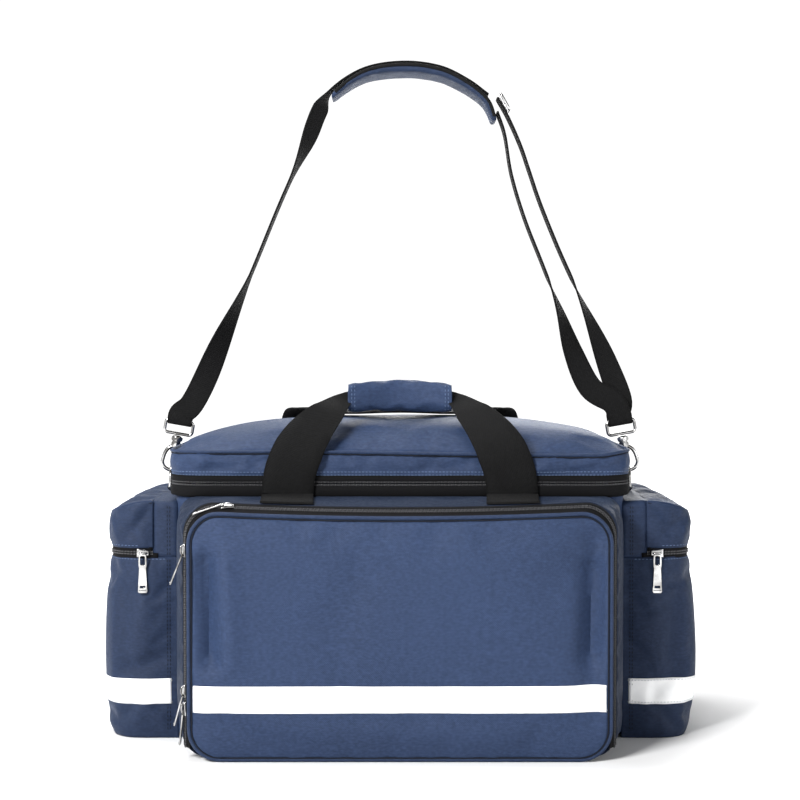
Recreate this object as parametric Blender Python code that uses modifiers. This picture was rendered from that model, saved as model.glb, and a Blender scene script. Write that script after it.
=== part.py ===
"""Duffel-type trauma bag with a hinged lid, three pockets, carry handles and a shoulder strap.

Metres, +Z up. The origin is on the floor under the middle of the bag. -Y is the front.
"""
from math import cos, radians, sin, sqrt

import bmesh
import bpy
from mathutils import Matrix, Vector

# ---- driving dimensions -------------------------------------------------------------------
GAP = 0.0003
FABRIC = 0.003
TAPE = 0.0015

BODY_W = 0.442
BODY_D = 0.270
BODY_Y = 0.0371
BODY_CORNER = 0.035
BODY_WALL = 0.005
BODY_TOP = 0.2405
BODY_FRONT = BODY_Y - BODY_D / 2
BODY_REAR = BODY_Y + BODY_D / 2
BODY_CHAMFER = 0.006
BOARD_Z = 0.0062
BOARD_THICK = 0.003
INSIDE_GAP = 0.004
DIVIDER_X = 0.073
DIVIDER_THICK = 0.008
DIVIDER_H = 0.190

LID_W = 0.452
LID_D = 0.272
LID_BOTTOM = 0.2583
LID_SEAM = 0.283
LID_TOP = 0.313
LID_WALL = 0.004
ZIP_SPLIT = 0.2493
ZIP_W = 0.449
CROWN_INSET = 0.004
BINDING_W = 0.370
BINDING_LOW = 0.2300
BINDING_HIGH = 0.2490

POCKET_FACE = BODY_FRONT - 0.080
PANEL_W = 0.390
PANEL_TOP = 0.2305
PANEL_CORNER = 0.028
PANEL_THICK = 0.005
FLAP_HINGE_Z = 0.0118
FLAP_TAPE_FRONT = POCKET_FACE + PANEL_THICK + GAP
FLAP_TAPE_BACK = FLAP_TAPE_FRONT + 0.0062
BODY_TAPE_FRONT = FLAP_TAPE_BACK + GAP
BODY_TAPE_BACK = BODY_TAPE_FRONT + 0.0062
GUSSET_FRONT = BODY_TAPE_BACK + GAP
GUSSET_REAR_W = 0.430
GUSSET_REAR_TOP = 0.2400
GUSSET_FOOT = 0.001
ZIP_FOOT = 0.014

SIDE_IN = BODY_W / 2 + 0.0005
SIDE_OUT = 0.285
SIDE_D = 0.228
SIDE_CORNER = 0.030
SIDE_LOWER_TOP = 0.1785
SIDE_SPLIT = 0.1830
SIDE_CAP_BOTTOM = 0.1878
SIDE_CAP_TOP = 0.2335
SIDE_CAP_OUTER_TOP = 0.2215
CAP_HINGE_X = 0.2435
CAP_CURVE_Z = 0.205
CAP_SHELL = 0.002

BAND_W = 0.025
BAND_THICK = 0.001
FRONT_BAND_Z = 0.059
SIDE_BAND_Z = 0.0465

HANDLE_W = 0.050
HANDLE_T = 0.0024
HANDLE_X = 0.109
HANDLE_FRONT_Y = BODY_FRONT - 0.0044
GRIP_LEN = 0.103
GRIP_H = 0.030
GRIP_D = 0.025
GRIP_Y = BODY_Y - 0.0600
GRIP_Z = 0.3390
HANDLE_BASE_Z = 0.2435

STRAP_W = 0.025
STRAP_T = 0.0018
PAD_W = 0.058
PAD_T = 0.010
PAD_DROP = 0.0068
GLIDE_LENGTH = 0.022
GLIDE_WIDTH = 0.036
GLIDE_THICK = 0.0026

RING_X = 0.2385
RING_BAR_Z = 0.2390
RING_ARC_Z = 0.2610
RING_WIRE = 0.002
RING_HALF = 0.0150
HOOK_LEAN = radians(10)
HOOK_RADIUS = 0.0080
HOOK_WIRE = 0.002
EYE_LOW = 0.0310
EYE_HIGH = 0.0450
EYE_W = 0.0290
EYE_WIRE = 0.0017
BARREL_W = 0.0228
GATE_TOP_W = 0.0160

SLIDER_CREST = 0.0046
PULLER_HALF_W = 0.0042
PULLER_HALF_T = 0.0006

BLUE = (0.042, 0.075, 0.165, 1.0)
BLACK = (0.012, 0.012, 0.013, 1.0)
SILVER = (0.72, 0.73, 0.75, 1.0)
WHITE = (0.80, 0.81, 0.83, 1.0)
GREY = (0.20, 0.21, 0.23, 1.0)

COLLECTION = "trauma_bag"


# ---- scene and material helpers -----------------------------------------------------------
def clear_scene():
    for item in list(bpy.data.objects):
        bpy.data.objects.remove(item, do_unlink=True)


def make_collection(name):
    group = bpy.data.collections.new(name)
    bpy.context.scene.collection.children.link(group)
    return group


def material(name, colour, roughness, metallic):
    mat = bpy.data.materials.new(name)
    mat.use_nodes = True
    shader = mat.node_tree.nodes["Principled BSDF"]
    shader.inputs["Base Color"].default_value = colour
    shader.inputs["Roughness"].default_value = roughness
    shader.inputs["Metallic"].default_value = metallic
    return mat


def fabric(name):
    return material(name + "_fabric", BLUE, 0.75, 0.0)


def webbing(name):
    return material(name + "_webbing", BLACK, 0.7, 0.0)


def plated(name):
    return material(name + "_metal", SILVER, 0.22, 1.0)


def reflective(name):
    return material(name + "_reflective", WHITE, 0.4, 0.0)


def board(name):
    return material(name + "_board", GREY, 0.6, 0.0)


def add_object(name, bm, mat, smooth=35):
    """Links a bmesh as one named object in the bag's collection."""
    mesh = bpy.data.meshes.new(name)
    bm.normal_update()
    bm.to_mesh(mesh)
    bm.free()
    mesh.shade_smooth()
    mesh.set_sharp_from_angle(angle=radians(smooth))
    item = bpy.data.objects.new(name, mesh)
    item.data.materials.append(mat)
    bpy.data.collections[COLLECTION].objects.link(item)
    return item


def set_origin(item, point):
    """Moves an object's origin to a point without moving its surface."""
    item.data.transform(Matrix.Translation(-Vector(point)))
    item.location = point


def solidify(item, thickness, offset=-1.0):
    mod = item.modifiers.new("Solidify", "SOLIDIFY")
    mod.thickness = thickness
    mod.offset = offset
    mod.use_even_offset = True


# ---- outline helpers ----------------------------------------------------------------------
def arc(cx, cy, radius, start, end, steps):
    return [
        (cx + radius * cos(radians(start + (end - start) * i / steps)),
         cy + radius * sin(radians(start + (end - start) * i / steps)))
        for i in range(steps + 1)
    ]


def rounded_rect(x0, x1, y0, y1, radius, steps=5):
    """Counter-clockwise outline with equal corner radii."""
    points = arc(x1 - radius, y0 + radius, radius, -90, 0, steps)
    points += arc(x1 - radius, y1 - radius, radius, 0, 90, steps)
    points += arc(x0 + radius, y1 - radius, radius, 90, 180, steps)
    points += arc(x0 + radius, y0 + radius, radius, 180, 270, steps)
    return points


def plan_rect(width, depth, radius, z, steps=5):
    half = width / 2
    outline = rounded_rect(-half, half, BODY_Y - depth / 2, BODY_Y + depth / 2, radius, steps)
    return [Vector((x, y, z)) for x, y in outline]


def front_rect(width, z0, z1, radius, y, steps=5):
    """Rounded rectangle standing in the XZ plane at depth y."""
    return [Vector((x, y, z)) for x, z in rounded_rect(-width / 2, width / 2, z0, z1, radius, steps)]


def smooth_path(points, per_span=4):
    """Catmull-Rom curve through a short list of points."""
    points = [Vector(p) for p in points]
    padded = [points[0] * 2 - points[1]] + points + [points[-1] * 2 - points[-2]]
    out = []
    for i in range(1, len(padded) - 2):
        p0, p1, p2, p3 = padded[i - 1:i + 3]
        for k in range(per_span):
            t = k / per_span
            a = 2 * p1
            b = (p2 - p0) * t
            c = (2 * p0 - 5 * p1 + 4 * p2 - p3) * t * t
            d = (3 * p1 - p0 - 3 * p2 + p3) * t * t * t
            out.append((a + b + c + d) / 2)
    out.append(points[-1].copy())
    return out


# ---- solid helpers ------------------------------------------------------------------------
def skin(bm, rings, closed, start_cap=False, end_cap=False):
    """Quads between successive rings of points, with optional end faces."""
    rows = [[bm.verts.new(p) for p in ring] for ring in rings]
    count = len(rows[0])
    last = count if closed else count - 1
    for low, high in zip(rows, rows[1:]):
        for i in range(last):
            j = (i + 1) % count
            bm.faces.new((low[i], low[j], high[j], high[i]))
    if start_cap:
        bm.faces.new(list(reversed(rows[0])))
    if end_cap:
        bm.faces.new(rows[-1])


def loft(name, rings, mat, start_cap=True, end_cap=True):
    """Closed sections joined into one skin, with end faces where they are wanted."""
    bm = bmesh.new()
    skin(bm, rings, True, start_cap, end_cap)
    bmesh.ops.recalc_face_normals(bm, faces=bm.faces[:])
    return add_object(name, bm, mat)


def strip(name, path, sweep, thickness, mat, offset):
    """A tape: a path swept along a vector and given a thickness."""
    sweep = Vector(sweep)
    bm = bmesh.new()
    skin(bm, [path, [p + sweep for p in path]], closed=False)
    item = add_object(name, bm, mat)
    solidify(item, thickness, offset)
    return item


def ribbon(name, path, facings, widths, thickness, mat):
    """Flat webbing along a path. facings are its face normals, widths its width at each point."""
    rings = []
    for i, point in enumerate(path):
        ahead = path[min(i + 1, len(path) - 1)]
        behind = path[max(i - 1, 0)]
        along = (ahead - behind).normalized()
        across = along.cross(facings[i]).normalized()
        face = across.cross(along).normalized()
        a = across * (widths[i] / 2)
        f = face * (thickness / 2)
        rings.append([point - a - f, point + a - f, point + a + f, point - a + f])
    return loft(name, rings, mat)


def blend_along(keys, count):
    """Spreads a few key values evenly along count points."""
    out = []
    spans = len(keys) - 1
    for i in range(count):
        t = i / (count - 1) * spans
        k = min(int(t), spans - 1)
        out.append(keys[k] * (1 - (t - k)) + keys[k + 1] * (t - k))
    return out


def wire(name, points, radius, mat, cyclic=False):
    """Round wire or piping as a bevelled curve, turned into a welded mesh object."""
    curve = bpy.data.curves.new(name + "_curve", "CURVE")
    curve.dimensions = "3D"
    curve.bevel_depth = radius
    curve.bevel_resolution = 2
    curve.use_fill_caps = True
    spline = curve.splines.new("POLY")
    spline.points.add(len(points) - 1)
    for target, point in zip(spline.points, points):
        target.co = (*point, 1.0)
    spline.use_cyclic_u = cyclic
    guide = bpy.data.objects.new(name + "_curve", curve)
    bpy.data.collections[COLLECTION].objects.link(guide)
    depsgraph = bpy.context.evaluated_depsgraph_get()
    mesh = bpy.data.meshes.new_from_object(guide.evaluated_get(depsgraph))
    bpy.data.objects.remove(guide)
    bm = bmesh.new()
    bm.from_mesh(mesh)
    bpy.data.meshes.remove(mesh)
    bmesh.ops.remove_doubles(bm, verts=bm.verts[:], dist=0.00001)
    bmesh.ops.recalc_face_normals(bm, faces=bm.faces[:])
    return add_object(name, bm, mat)


def box(name, low, high, mat, bevel=0.0):
    bm = bmesh.new()
    bmesh.ops.create_cube(bm, size=1.0)
    low = Vector(low)
    high = Vector(high)
    size = high - low
    for vert in bm.verts:
        vert.co = Vector((vert.co.x * size.x, vert.co.y * size.y, vert.co.z * size.z)) + (low + high) / 2
    item = add_object(name, bm, mat)
    if bevel:
        mod = item.modifiers.new("Bevel", "BEVEL")
        mod.width = bevel
        mod.segments = 2
    return item


def cut_at_height(item, z, keep_above):
    """Trims a solid at a horizontal plane and closes the cut."""
    bm = bmesh.new()
    bm.from_mesh(item.data)
    geometry = bm.verts[:] + bm.edges[:] + bm.faces[:]
    bmesh.ops.bisect_plane(bm, geom=geometry, dist=0.00001, plane_co=(0, 0, z), plane_no=(0, 0, 1),
                           clear_outer=not keep_above, clear_inner=keep_above)
    rim = [edge for edge in bm.edges if edge.is_boundary]
    bmesh.ops.holes_fill(bm, edges=rim)
    bmesh.ops.recalc_face_normals(bm, faces=bm.faces[:])
    bm.to_mesh(item.data)
    bm.free()


# ---- body ---------------------------------------------------------------------------------
def make_main_body():
    rings = [
        plan_rect(BODY_W - 0.008, BODY_D - 0.008, BODY_CORNER - 0.004, 0.0),
        plan_rect(BODY_W, BODY_D, BODY_CORNER, BODY_CHAMFER),
        plan_rect(BODY_W, BODY_D, BODY_CORNER, BODY_TOP / 2),
        plan_rect(BODY_W, BODY_D, BODY_CORNER, BODY_TOP),
    ]
    item = loft("main_body", rings, fabric("main_body"), end_cap=False)
    solidify(item, BODY_WALL)


def make_inside():
    half_w = BODY_W / 2 - BODY_WALL - INSIDE_GAP
    half_d = BODY_D / 2 - BODY_WALL - INSIDE_GAP
    corner = BODY_CORNER - BODY_WALL - INSIDE_GAP
    outline = rounded_rect(-half_w, half_w, BODY_Y - half_d, BODY_Y + half_d, corner)
    rings = [[Vector((x, y, z)) for x, y in outline] for z in (BOARD_Z, BOARD_Z + BOARD_THICK)]
    loft("base_board", rings, board("base_board"))
    for side, name in ((-1, "left_divider"), (1, "right_divider")):
        x = side * DIVIDER_X
        low = (x - DIVIDER_THICK / 2, BODY_Y - half_d, BOARD_Z + BOARD_THICK + 0.0005)
        high = (x + DIVIDER_THICK / 2, BODY_Y + half_d, BOARD_Z + DIVIDER_H)
        box(name, low, high, fabric(name), bevel=0.002)


def u_path(width, depth, radius, y_end, z):
    """Plan outline from the left rear round the front to the right rear, open at the back."""
    half = width / 2
    front = BODY_Y - depth / 2
    points = [(-half, y_end)]
    points += arc(-half + radius, front + radius, radius, 180, 270, 6)
    points += arc(half - radius, front + radius, radius, 270, 360, 6)
    points += [(half, y_end)]
    return [Vector((x, y, z)) for x, y in points]


def make_body_zip():
    end = BODY_REAR - BODY_CORNER
    for name, low, high in (
        ("body_zip", BODY_TOP + GAP, ZIP_SPLIT - GAP),
        ("lid_zip", ZIP_SPLIT, LID_BOTTOM - GAP),
    ):
        path = u_path(ZIP_W, BODY_D + 0.001, BODY_CORNER, end, low)
        strip(name + "_tape", path, (0, 0, high - low), TAPE, webbing(name), 1.0)


def make_rear_binding():
    low = (-BINDING_W / 2, BODY_REAR + GAP, BINDING_LOW)
    high = (BINDING_W / 2, BODY_REAR + GAP + TAPE, BINDING_HIGH)
    box("rear_hinge_binding", low, high, fabric("rear_hinge_binding"))


# ---- lid ----------------------------------------------------------------------------------
def crown_ring(t):
    """Lid section at a share t of the crown's height, on a superelliptic dome."""
    shrink = (1 - t ** 1.4) ** (1 / 3)
    width = (LID_W - CROWN_INSET) * shrink
    depth = (LID_D - CROWN_INSET) * shrink
    radius = min(BODY_CORNER + 0.25 * (LID_D - depth), depth * 0.45)
    return plan_rect(width, depth, radius, LID_SEAM + t * (LID_TOP - LID_SEAM))


def make_lid():
    rings = [
        plan_rect(LID_W - 0.001, LID_D - 0.001, BODY_CORNER, LID_BOTTOM),
        plan_rect(LID_W, LID_D, BODY_CORNER, 0.5 * (LID_BOTTOM + LID_SEAM)),
    ]
    rings += [crown_ring(t) for t in (0.0, 0.18, 0.40, 0.62, 0.80, 0.92, 0.985)]
    item = loft("lid_shell", rings, fabric("lid_shell"), start_cap=False)
    solidify(item, LID_WALL)
    proud = 0.0046
    piping_w = LID_W - CROWN_INSET + proud
    piping_d = LID_D - CROWN_INSET + proud
    path = plan_rect(piping_w, piping_d, BODY_CORNER + 0.002, LID_SEAM + 0.001, 6)
    wire("lid_piping", path, 0.0018, fabric("lid_piping"), cyclic=True)


# ---- front pocket -------------------------------------------------------------------------
def body_front_y(x):
    """Depth of the body's outer surface at x, round its front corners too."""
    past = abs(x) - (BODY_W / 2 - BODY_CORNER)
    if past <= 0:
        return BODY_FRONT
    return BODY_FRONT + BODY_CORNER - sqrt(BODY_CORNER ** 2 - past ** 2)


def make_gusset():
    rear = front_rect(GUSSET_REAR_W, GUSSET_FOOT, GUSSET_REAR_TOP, 0.018, 0.0, 6)
    for point in rear:
        inner_x = max(abs(point.x) - FABRIC - 0.0005, 0.0)
        point.y = body_front_y(inner_x) - 0.0014
    waist_y = BODY_FRONT - 0.0335
    middle = front_rect(GUSSET_REAR_W - 0.008, GUSSET_FOOT, GUSSET_REAR_TOP - 0.002, 0.022, waist_y, 6)
    front = front_rect(PANEL_W + 0.003, GUSSET_FOOT, PANEL_TOP + 0.0015, PANEL_CORNER, GUSSET_FRONT, 6)
    item = loft("front_pocket_gusset", [rear, middle, front], fabric("front_pocket_gusset"), False, False)
    solidify(item, FABRIC)


def pocket_u(width, top, radius, y, bottom=FLAP_HINGE_Z):
    """Upright path from the bottom left, over the top, down to the bottom right."""
    half = width / 2
    points = [(-half, bottom), (-half, bottom + 0.02)]
    points += reversed(arc(-half + radius, top - radius, radius, 90, 180, 6))
    points += reversed(arc(half - radius, top - radius, radius, 0, 90, 6))
    points += [(half, bottom + 0.02), (half, bottom)]
    return [Vector((x, y, z)) for x, z in points]


def make_front_zip():
    depth = BODY_TAPE_BACK - BODY_TAPE_FRONT
    path = pocket_u(PANEL_W + 0.0020, PANEL_TOP + 0.001, PANEL_CORNER, BODY_TAPE_BACK, ZIP_FOOT)
    strip("front_pocket_zip_body_side", path, (0, -depth, 0), TAPE, webbing("front_zip_body"), 1.0)
    depth = FLAP_TAPE_BACK - FLAP_TAPE_FRONT
    path = pocket_u(PANEL_W + 0.0020, PANEL_TOP + 0.001, PANEL_CORNER, FLAP_TAPE_BACK, ZIP_FOOT)
    tape = strip("front_pocket_zip_flap_side", path, (0, -depth, 0), TAPE, webbing("front_zip_flap"), 1.0)
    set_origin(tape, (0, POCKET_FACE, FLAP_HINGE_Z))


def make_front_panel():
    outer = front_rect(PANEL_W, GUSSET_FOOT, PANEL_TOP, PANEL_CORNER, POCKET_FACE, 6)
    inner = front_rect(PANEL_W, GUSSET_FOOT, PANEL_TOP, PANEL_CORNER, POCKET_FACE + PANEL_THICK, 6)
    panel = loft("front_pocket_panel", [outer, inner], fabric("front_pocket_panel"))
    cut_at_height(panel, FLAP_HINGE_Z + GAP, keep_above=True)
    set_origin(panel, (0, POCKET_FACE, FLAP_HINGE_Z))
    deep = front_rect(PANEL_W, GUSSET_FOOT, PANEL_TOP, PANEL_CORNER, GUSSET_FRONT - GAP, 6)
    foot = loft("front_pocket_foot", [outer, deep], fabric("front_pocket_foot"))
    cut_at_height(foot, FLAP_HINGE_Z - GAP, keep_above=False)


def make_front_trim():
    y = POCKET_FACE + 0.0022
    path = pocket_u(PANEL_W + 0.0050, PANEL_TOP + 0.0025, PANEL_CORNER + 0.002, y, 0.034)
    piping = wire("front_pocket_piping", path, 0.0019, fabric("front_pocket_piping"))
    set_origin(piping, (0, POCKET_FACE, FLAP_HINGE_Z))
    half = PANEL_W / 2 - 0.004
    low = (-half, POCKET_FACE - GAP - BAND_THICK, FRONT_BAND_Z - BAND_W / 2)
    high = (half, POCKET_FACE - GAP, FRONT_BAND_Z + BAND_W / 2)
    band = box("front_reflective_band", low, high, reflective("front_band"))
    set_origin(band, (0, POCKET_FACE, FLAP_HINGE_Z))


# ---- side pockets -------------------------------------------------------------------------
def side_outline(side, inner, outer, grow, z, steps=5):
    """Plan of a side pocket: square at the body, rounded outside. side is -1 or 1."""
    y0 = BODY_Y - SIDE_D / 2 - grow
    y1 = BODY_Y + SIDE_D / 2 + grow
    radius = SIDE_CORNER
    points = [(inner, y0)]
    points += arc(outer - radius, y0 + radius, radius, -90, 0, steps)
    points += arc(outer - radius, y1 - radius, radius, 0, 90, steps)
    points += [(inner, y1)]
    return [Vector((side * x, y, z)) for x, y in points]


def make_side_lower(side, name):
    rings = [
        side_outline(side, SIDE_IN, SIDE_OUT - 0.003, -0.003, 0.001),
        side_outline(side, SIDE_IN, SIDE_OUT, 0.0, 0.006),
        side_outline(side, SIDE_IN, SIDE_OUT, 0.0, SIDE_LOWER_TOP),
    ]
    item = loft(name + "_pocket_body", rings, fabric(name + "_pocket"), end_cap=False)
    solidify(item, FABRIC)


def make_side_shoulder(side, name):
    """Fixed fabric between the body wall and the flap, open below and on the flap's side."""
    low = Vector((SIDE_IN, BODY_Y - SIDE_D / 2 + 0.0005, SIDE_LOWER_TOP + GAP))
    high = Vector((CAP_HINGE_X - 0.0006, BODY_Y + SIDE_D / 2 - 0.0005, SIDE_CAP_TOP))
    size = high - low
    bm = bmesh.new()
    bmesh.ops.create_cube(bm, size=1.0)
    for vert in bm.verts:
        place = Vector((vert.co.x * size.x, vert.co.y * size.y, vert.co.z * size.z)) + (low + high) / 2
        vert.co = Vector((side * place.x, place.y, place.z))
    bmesh.ops.recalc_face_normals(bm, faces=bm.faces[:])
    open_faces = [face for face in bm.faces if face.normal.z < -0.5 or face.normal.x * side > 0.5]
    bmesh.ops.delete(bm, geom=open_faces, context="FACES_ONLY")
    item = add_object(name + "_pocket_shoulder", bm, fabric(name + "_shoulder"))
    solidify(item, CAP_SHELL)


def make_side_zip(side, name):
    inward = -side
    for low, high, part in (
        (SIDE_LOWER_TOP + GAP, SIDE_SPLIT - GAP, "_pocket_zip_lower"),
        (SIDE_SPLIT, SIDE_CAP_BOTTOM - GAP, "_pocket_zip_upper"),
    ):
        path = side_outline(side, CAP_HINGE_X, SIDE_OUT, 0.0, low)
        tape = strip(name + part, path, (0, 0, high - low), TAPE, webbing(name + part), inward)
        if part.endswith("upper"):
            set_origin(tape, (side * CAP_HINGE_X, BODY_Y, SIDE_CAP_TOP))


def make_side_cap(side, name):
    """Domed flap of a side pocket, a hollow shell that is open below and toward the bag."""
    outline = side_outline(side, CAP_HINGE_X, SIDE_OUT, 0.0, 0.0)
    half = len(outline) // 2
    bm = bmesh.new()
    columns = []
    for front, rear in zip(outline[:half], reversed(outline[half:])):
        reach = (abs(front.x) - CAP_HINGE_X) / (SIDE_OUT - CAP_HINGE_X)
        top = SIDE_CAP_TOP - (SIDE_CAP_TOP - SIDE_CAP_OUTER_TOP) * reach ** 2
        column = []
        for z in (SIDE_CAP_BOTTOM, CAP_CURVE_Z, top - 0.004):
            column.append(Vector((front.x, front.y, z)))
        span = rear.y - front.y
        for share in (0.03, 0.15, 0.50, 0.85, 0.97):
            column.append(Vector((front.x - side * 0.001 * reach, front.y + share * span, top)))
        for z in (top - 0.004, CAP_CURVE_Z, SIDE_CAP_BOTTOM):
            column.append(Vector((rear.x, rear.y, z)))
        columns.append(column)
    skin(bm, columns, closed=False)
    bmesh.ops.remove_doubles(bm, verts=bm.verts[:], dist=0.00001)
    bmesh.ops.recalc_face_normals(bm, faces=bm.faces[:])
    close_outer_wall(bm, side)
    item = add_object(name + "_pocket_cap", bm, fabric(name + "_cap"))
    solidify(item, CAP_SHELL)
    set_origin(item, (side * CAP_HINGE_X, BODY_Y, SIDE_CAP_TOP))


def close_outer_wall(bm, side):
    """Fills the flap's flat outer wall between its last column's front and rear halves."""
    far = max(abs(v.co.x) for v in bm.verts)
    bm.verts.ensure_lookup_table()
    near_far = 0.0012
    edges = [e for e in bm.edges if e.is_boundary and all(far - abs(v.co.x) < near_far for v in e.verts)]
    bmesh.ops.contextual_create(bm, geom=edges)
    bmesh.ops.recalc_face_normals(bm, faces=bm.faces[:])
    probe = max(bm.faces, key=lambda f: abs(f.calc_center_median().x))
    if probe.normal.x * side < 0:
        bmesh.ops.reverse_faces(bm, faces=bm.faces[:])


def make_side_band(side, name):
    start = SIDE_IN + 0.004
    path = side_outline(side, start, SIDE_OUT + GAP, GAP, SIDE_BAND_Z - BAND_W / 2)
    strip(name + "_reflective_band", path, (0, 0, BAND_W), BAND_THICK, reflective(name + "_band"), side)


# ---- handles ------------------------------------------------------------------------------
def mirrored(points):
    """Completes a left half path, which ends on the centre plane."""
    left = [Vector(p) for p in points]
    right = [Vector((-p.x, p.y, p.z)) for p in reversed(left[:-1])]
    return left + right


def make_front_handle():
    route = mirrored([
        (-HANDLE_X, HANDLE_FRONT_Y, HANDLE_BASE_Z),
        (-0.1070, HANDLE_FRONT_Y - 0.0010, 0.2640),
        (-0.1020, HANDLE_FRONT_Y - 0.0020, 0.2850),
        (-0.0930, HANDLE_FRONT_Y + 0.0050, 0.3030),
        (-0.0770, HANDLE_FRONT_Y + 0.0250, 0.3210),
        (-0.0560, GRIP_Y - 0.0165, GRIP_Z - 0.0026),
        (-0.0300, GRIP_Y - 0.0045, GRIP_Z - 0.0005),
        (0.0, GRIP_Y, GRIP_Z),
    ])
    path = smooth_path(route, 3)
    base = Vector((0, -1, 0))
    lean = Vector((0, -0.8, 0.6))
    facings = blend_along([base, base, Vector((0, -0.9, 0.4)), lean, lean, lean,
                           Vector((0, -0.9, 0.4)), base, base], len(path))
    narrow = GRIP_H - 0.017
    half_widths = [HANDLE_W, HANDLE_W, HANDLE_W, 0.046, 0.036, narrow, narrow]
    widths = blend_along(half_widths + [narrow] + half_widths[::-1], len(path))
    item = ribbon("front_handle_webbing", path, facings, widths, HANDLE_T, webbing("front_handle"))
    set_origin(item, (0, HANDLE_FRONT_Y, HANDLE_BASE_Z))


def make_grip():
    half = GRIP_LEN / 2
    rings = []
    for share in (-1.0, -0.9, -0.45, 0.0, 0.45, 0.9, 1.0):
        x = share * half
        y = GRIP_Y - 0.0140 * share * share
        z = GRIP_Z - 0.0018 * share * share
        pinch = 0.002 if abs(share) == 1.0 else 0.0
        outline = rounded_rect(-GRIP_D / 2 + pinch, GRIP_D / 2 - pinch, -GRIP_H / 2 + pinch,
                               GRIP_H / 2 - pinch, 0.008, 4)
        rings.append([Vector((x, y + a, z + b)) for a, b in outline])
    item = loft("handle_grip_wrap", rings, fabric("handle_grip"), False, False)
    solidify(item, 0.0020)
    set_origin(item, (0, HANDLE_FRONT_Y, HANDLE_BASE_Z))


def make_rear_handle():
    route = mirrored([
        (-HANDLE_X - 0.003, BODY_REAR + 0.0040, 0.2495),
        (-HANDLE_X - 0.003, BODY_REAR + 0.0056, 0.2830),
        (-0.1100, BODY_REAR - 0.0040, 0.3030),
        (-0.1030, BODY_REAR - 0.0300, 0.3140),
        (-0.0880, BODY_Y + 0.0650, 0.3190),
        (-0.0640, BODY_Y + 0.0200, 0.3200),
        (-0.0330, BODY_Y - 0.0150, 0.3195),
        (0.0, BODY_Y - 0.0300, 0.3195),
    ])
    path = smooth_path(route, 3)
    rear = Vector((0, 1, 0))
    up = Vector((0, 0, 1))
    facings = blend_along([rear, rear * 0.9 + up * 0.4, up, up, up, up, up,
                           rear * 0.9 + up * 0.4, rear], len(path))
    item = ribbon("rear_handle_webbing", path, facings, [HANDLE_W] * len(path), HANDLE_T,
                  webbing("rear_handle"))
    set_origin(item, (0, BODY_REAR + 0.0040, 0.2480))


# ---- zip sliders and pullers --------------------------------------------------------------
def frame_matrix(place, along, outward):
    """Local x runs along the zip, local z points out of the fabric."""
    along = Vector(along).normalized()
    outward = Vector(outward).normalized()
    side = outward.cross(along)
    matrix = Matrix((along, side, outward)).transposed().to_4x4()
    matrix.translation = Vector(place)
    return matrix


def make_slider(name, place, along, outward):
    """Slider body: a waisted wedge that lies on the zip's teeth."""
    outline = [(-0.0060, -0.0026), (0.0, -0.0032), (0.0060, -0.0040), (0.0060, 0.0040),
               (0.0, 0.0032), (-0.0060, 0.0026)]
    rings = [[Vector((x, y, z)) for x, y in outline] for z in (0.0004, 0.0022)]
    crest = [[Vector((x * 0.75, y * 0.7, 0.0032)) for x, y in outline]]
    item = loft(name, rings + crest, plated(name))
    item.matrix_world = frame_matrix(place, along, outward)


def make_puller(name, place, hang, outward, length):
    """Flat pull tab with a finger slot, hanging from the slider's crest."""
    bm = bmesh.new()
    outer = rounded_rect(0.0, length, -PULLER_HALF_W, PULLER_HALF_W, 0.0030, 3)
    inner = rounded_rect(0.0050, 0.0110, -0.0016, 0.0016, 0.0014, 3)
    rows = []
    for outline in (outer, inner):
        for z in (-PULLER_HALF_T, PULLER_HALF_T):
            rows.append([bm.verts.new((x, y, z)) for x, y in outline])
    count = len(rows[0])
    low_out, high_out, low_in, high_in = rows
    for i in range(count):
        j = (i + 1) % count
        bm.faces.new((low_out[i], low_out[j], high_out[j], high_out[i]))
        bm.faces.new((low_in[j], low_in[i], high_in[i], high_in[j]))
        bm.faces.new((high_out[i], high_out[j], high_in[j], high_in[i]))
        bm.faces.new((low_out[j], low_out[i], low_in[i], low_in[j]))
    item = add_object(name, bm, plated(name))
    item.matrix_world = frame_matrix(place, hang, outward)


def make_zip_hardware():
    down = (0, 0, -1)
    left = (-1, 0, 0)
    front = (0, -1, 0)
    zip_y = 0.5 * (FLAP_TAPE_BACK + BODY_TAPE_FRONT) + 0.0012
    edge_x = -(PANEL_W / 2 + 0.0010 + TAPE + GAP)
    top_z = PANEL_TOP + 0.0010 + TAPE + GAP
    for tag, z, swing in (
        ("front_lower", 0.0480, 0.0),
        ("front_upper", 0.0645, 0.27),
        ("front_corner", 0.1960, 0.0),
    ):
        hang = Vector((-swing, 0, -1)).normalized()
        make_slider(tag + "_slider", (edge_x, zip_y, z), down, left)
        make_puller(tag + "_puller", (edge_x - SLIDER_CREST, zip_y, z - 0.004), hang, (-1, 0, swing), 0.030)
    make_slider("front_top_slider", (-0.160, zip_y, top_z), left, (0, 0, 1))
    make_puller("front_top_puller", (-0.164, zip_y, top_z + SLIDER_CREST), left, (0, 0, 1), 0.030)
    side_front = BODY_Y - SIDE_D / 2 - TAPE - GAP
    for side, tag in ((-1, "left"), (1, "right")):
        x = side * 0.2520
        make_slider(tag + "_pocket_slider", (x, side_front, SIDE_SPLIT), (side, 0, 0), front)
        place = (x, side_front - SLIDER_CREST, SIDE_SPLIT - 0.001)
        make_puller(tag + "_pocket_puller", place, down, front, 0.038)
    lid_x = ZIP_W / 2 + TAPE + GAP
    lid_y = 0.128
    make_slider("lid_slider", (lid_x, lid_y, ZIP_SPLIT - 0.0002), front, (1, 0, 0))
    make_puller("lid_puller", (lid_x + SLIDER_CREST, lid_y, ZIP_SPLIT - 0.003), down, (1, 0, 0), 0.011)


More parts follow.
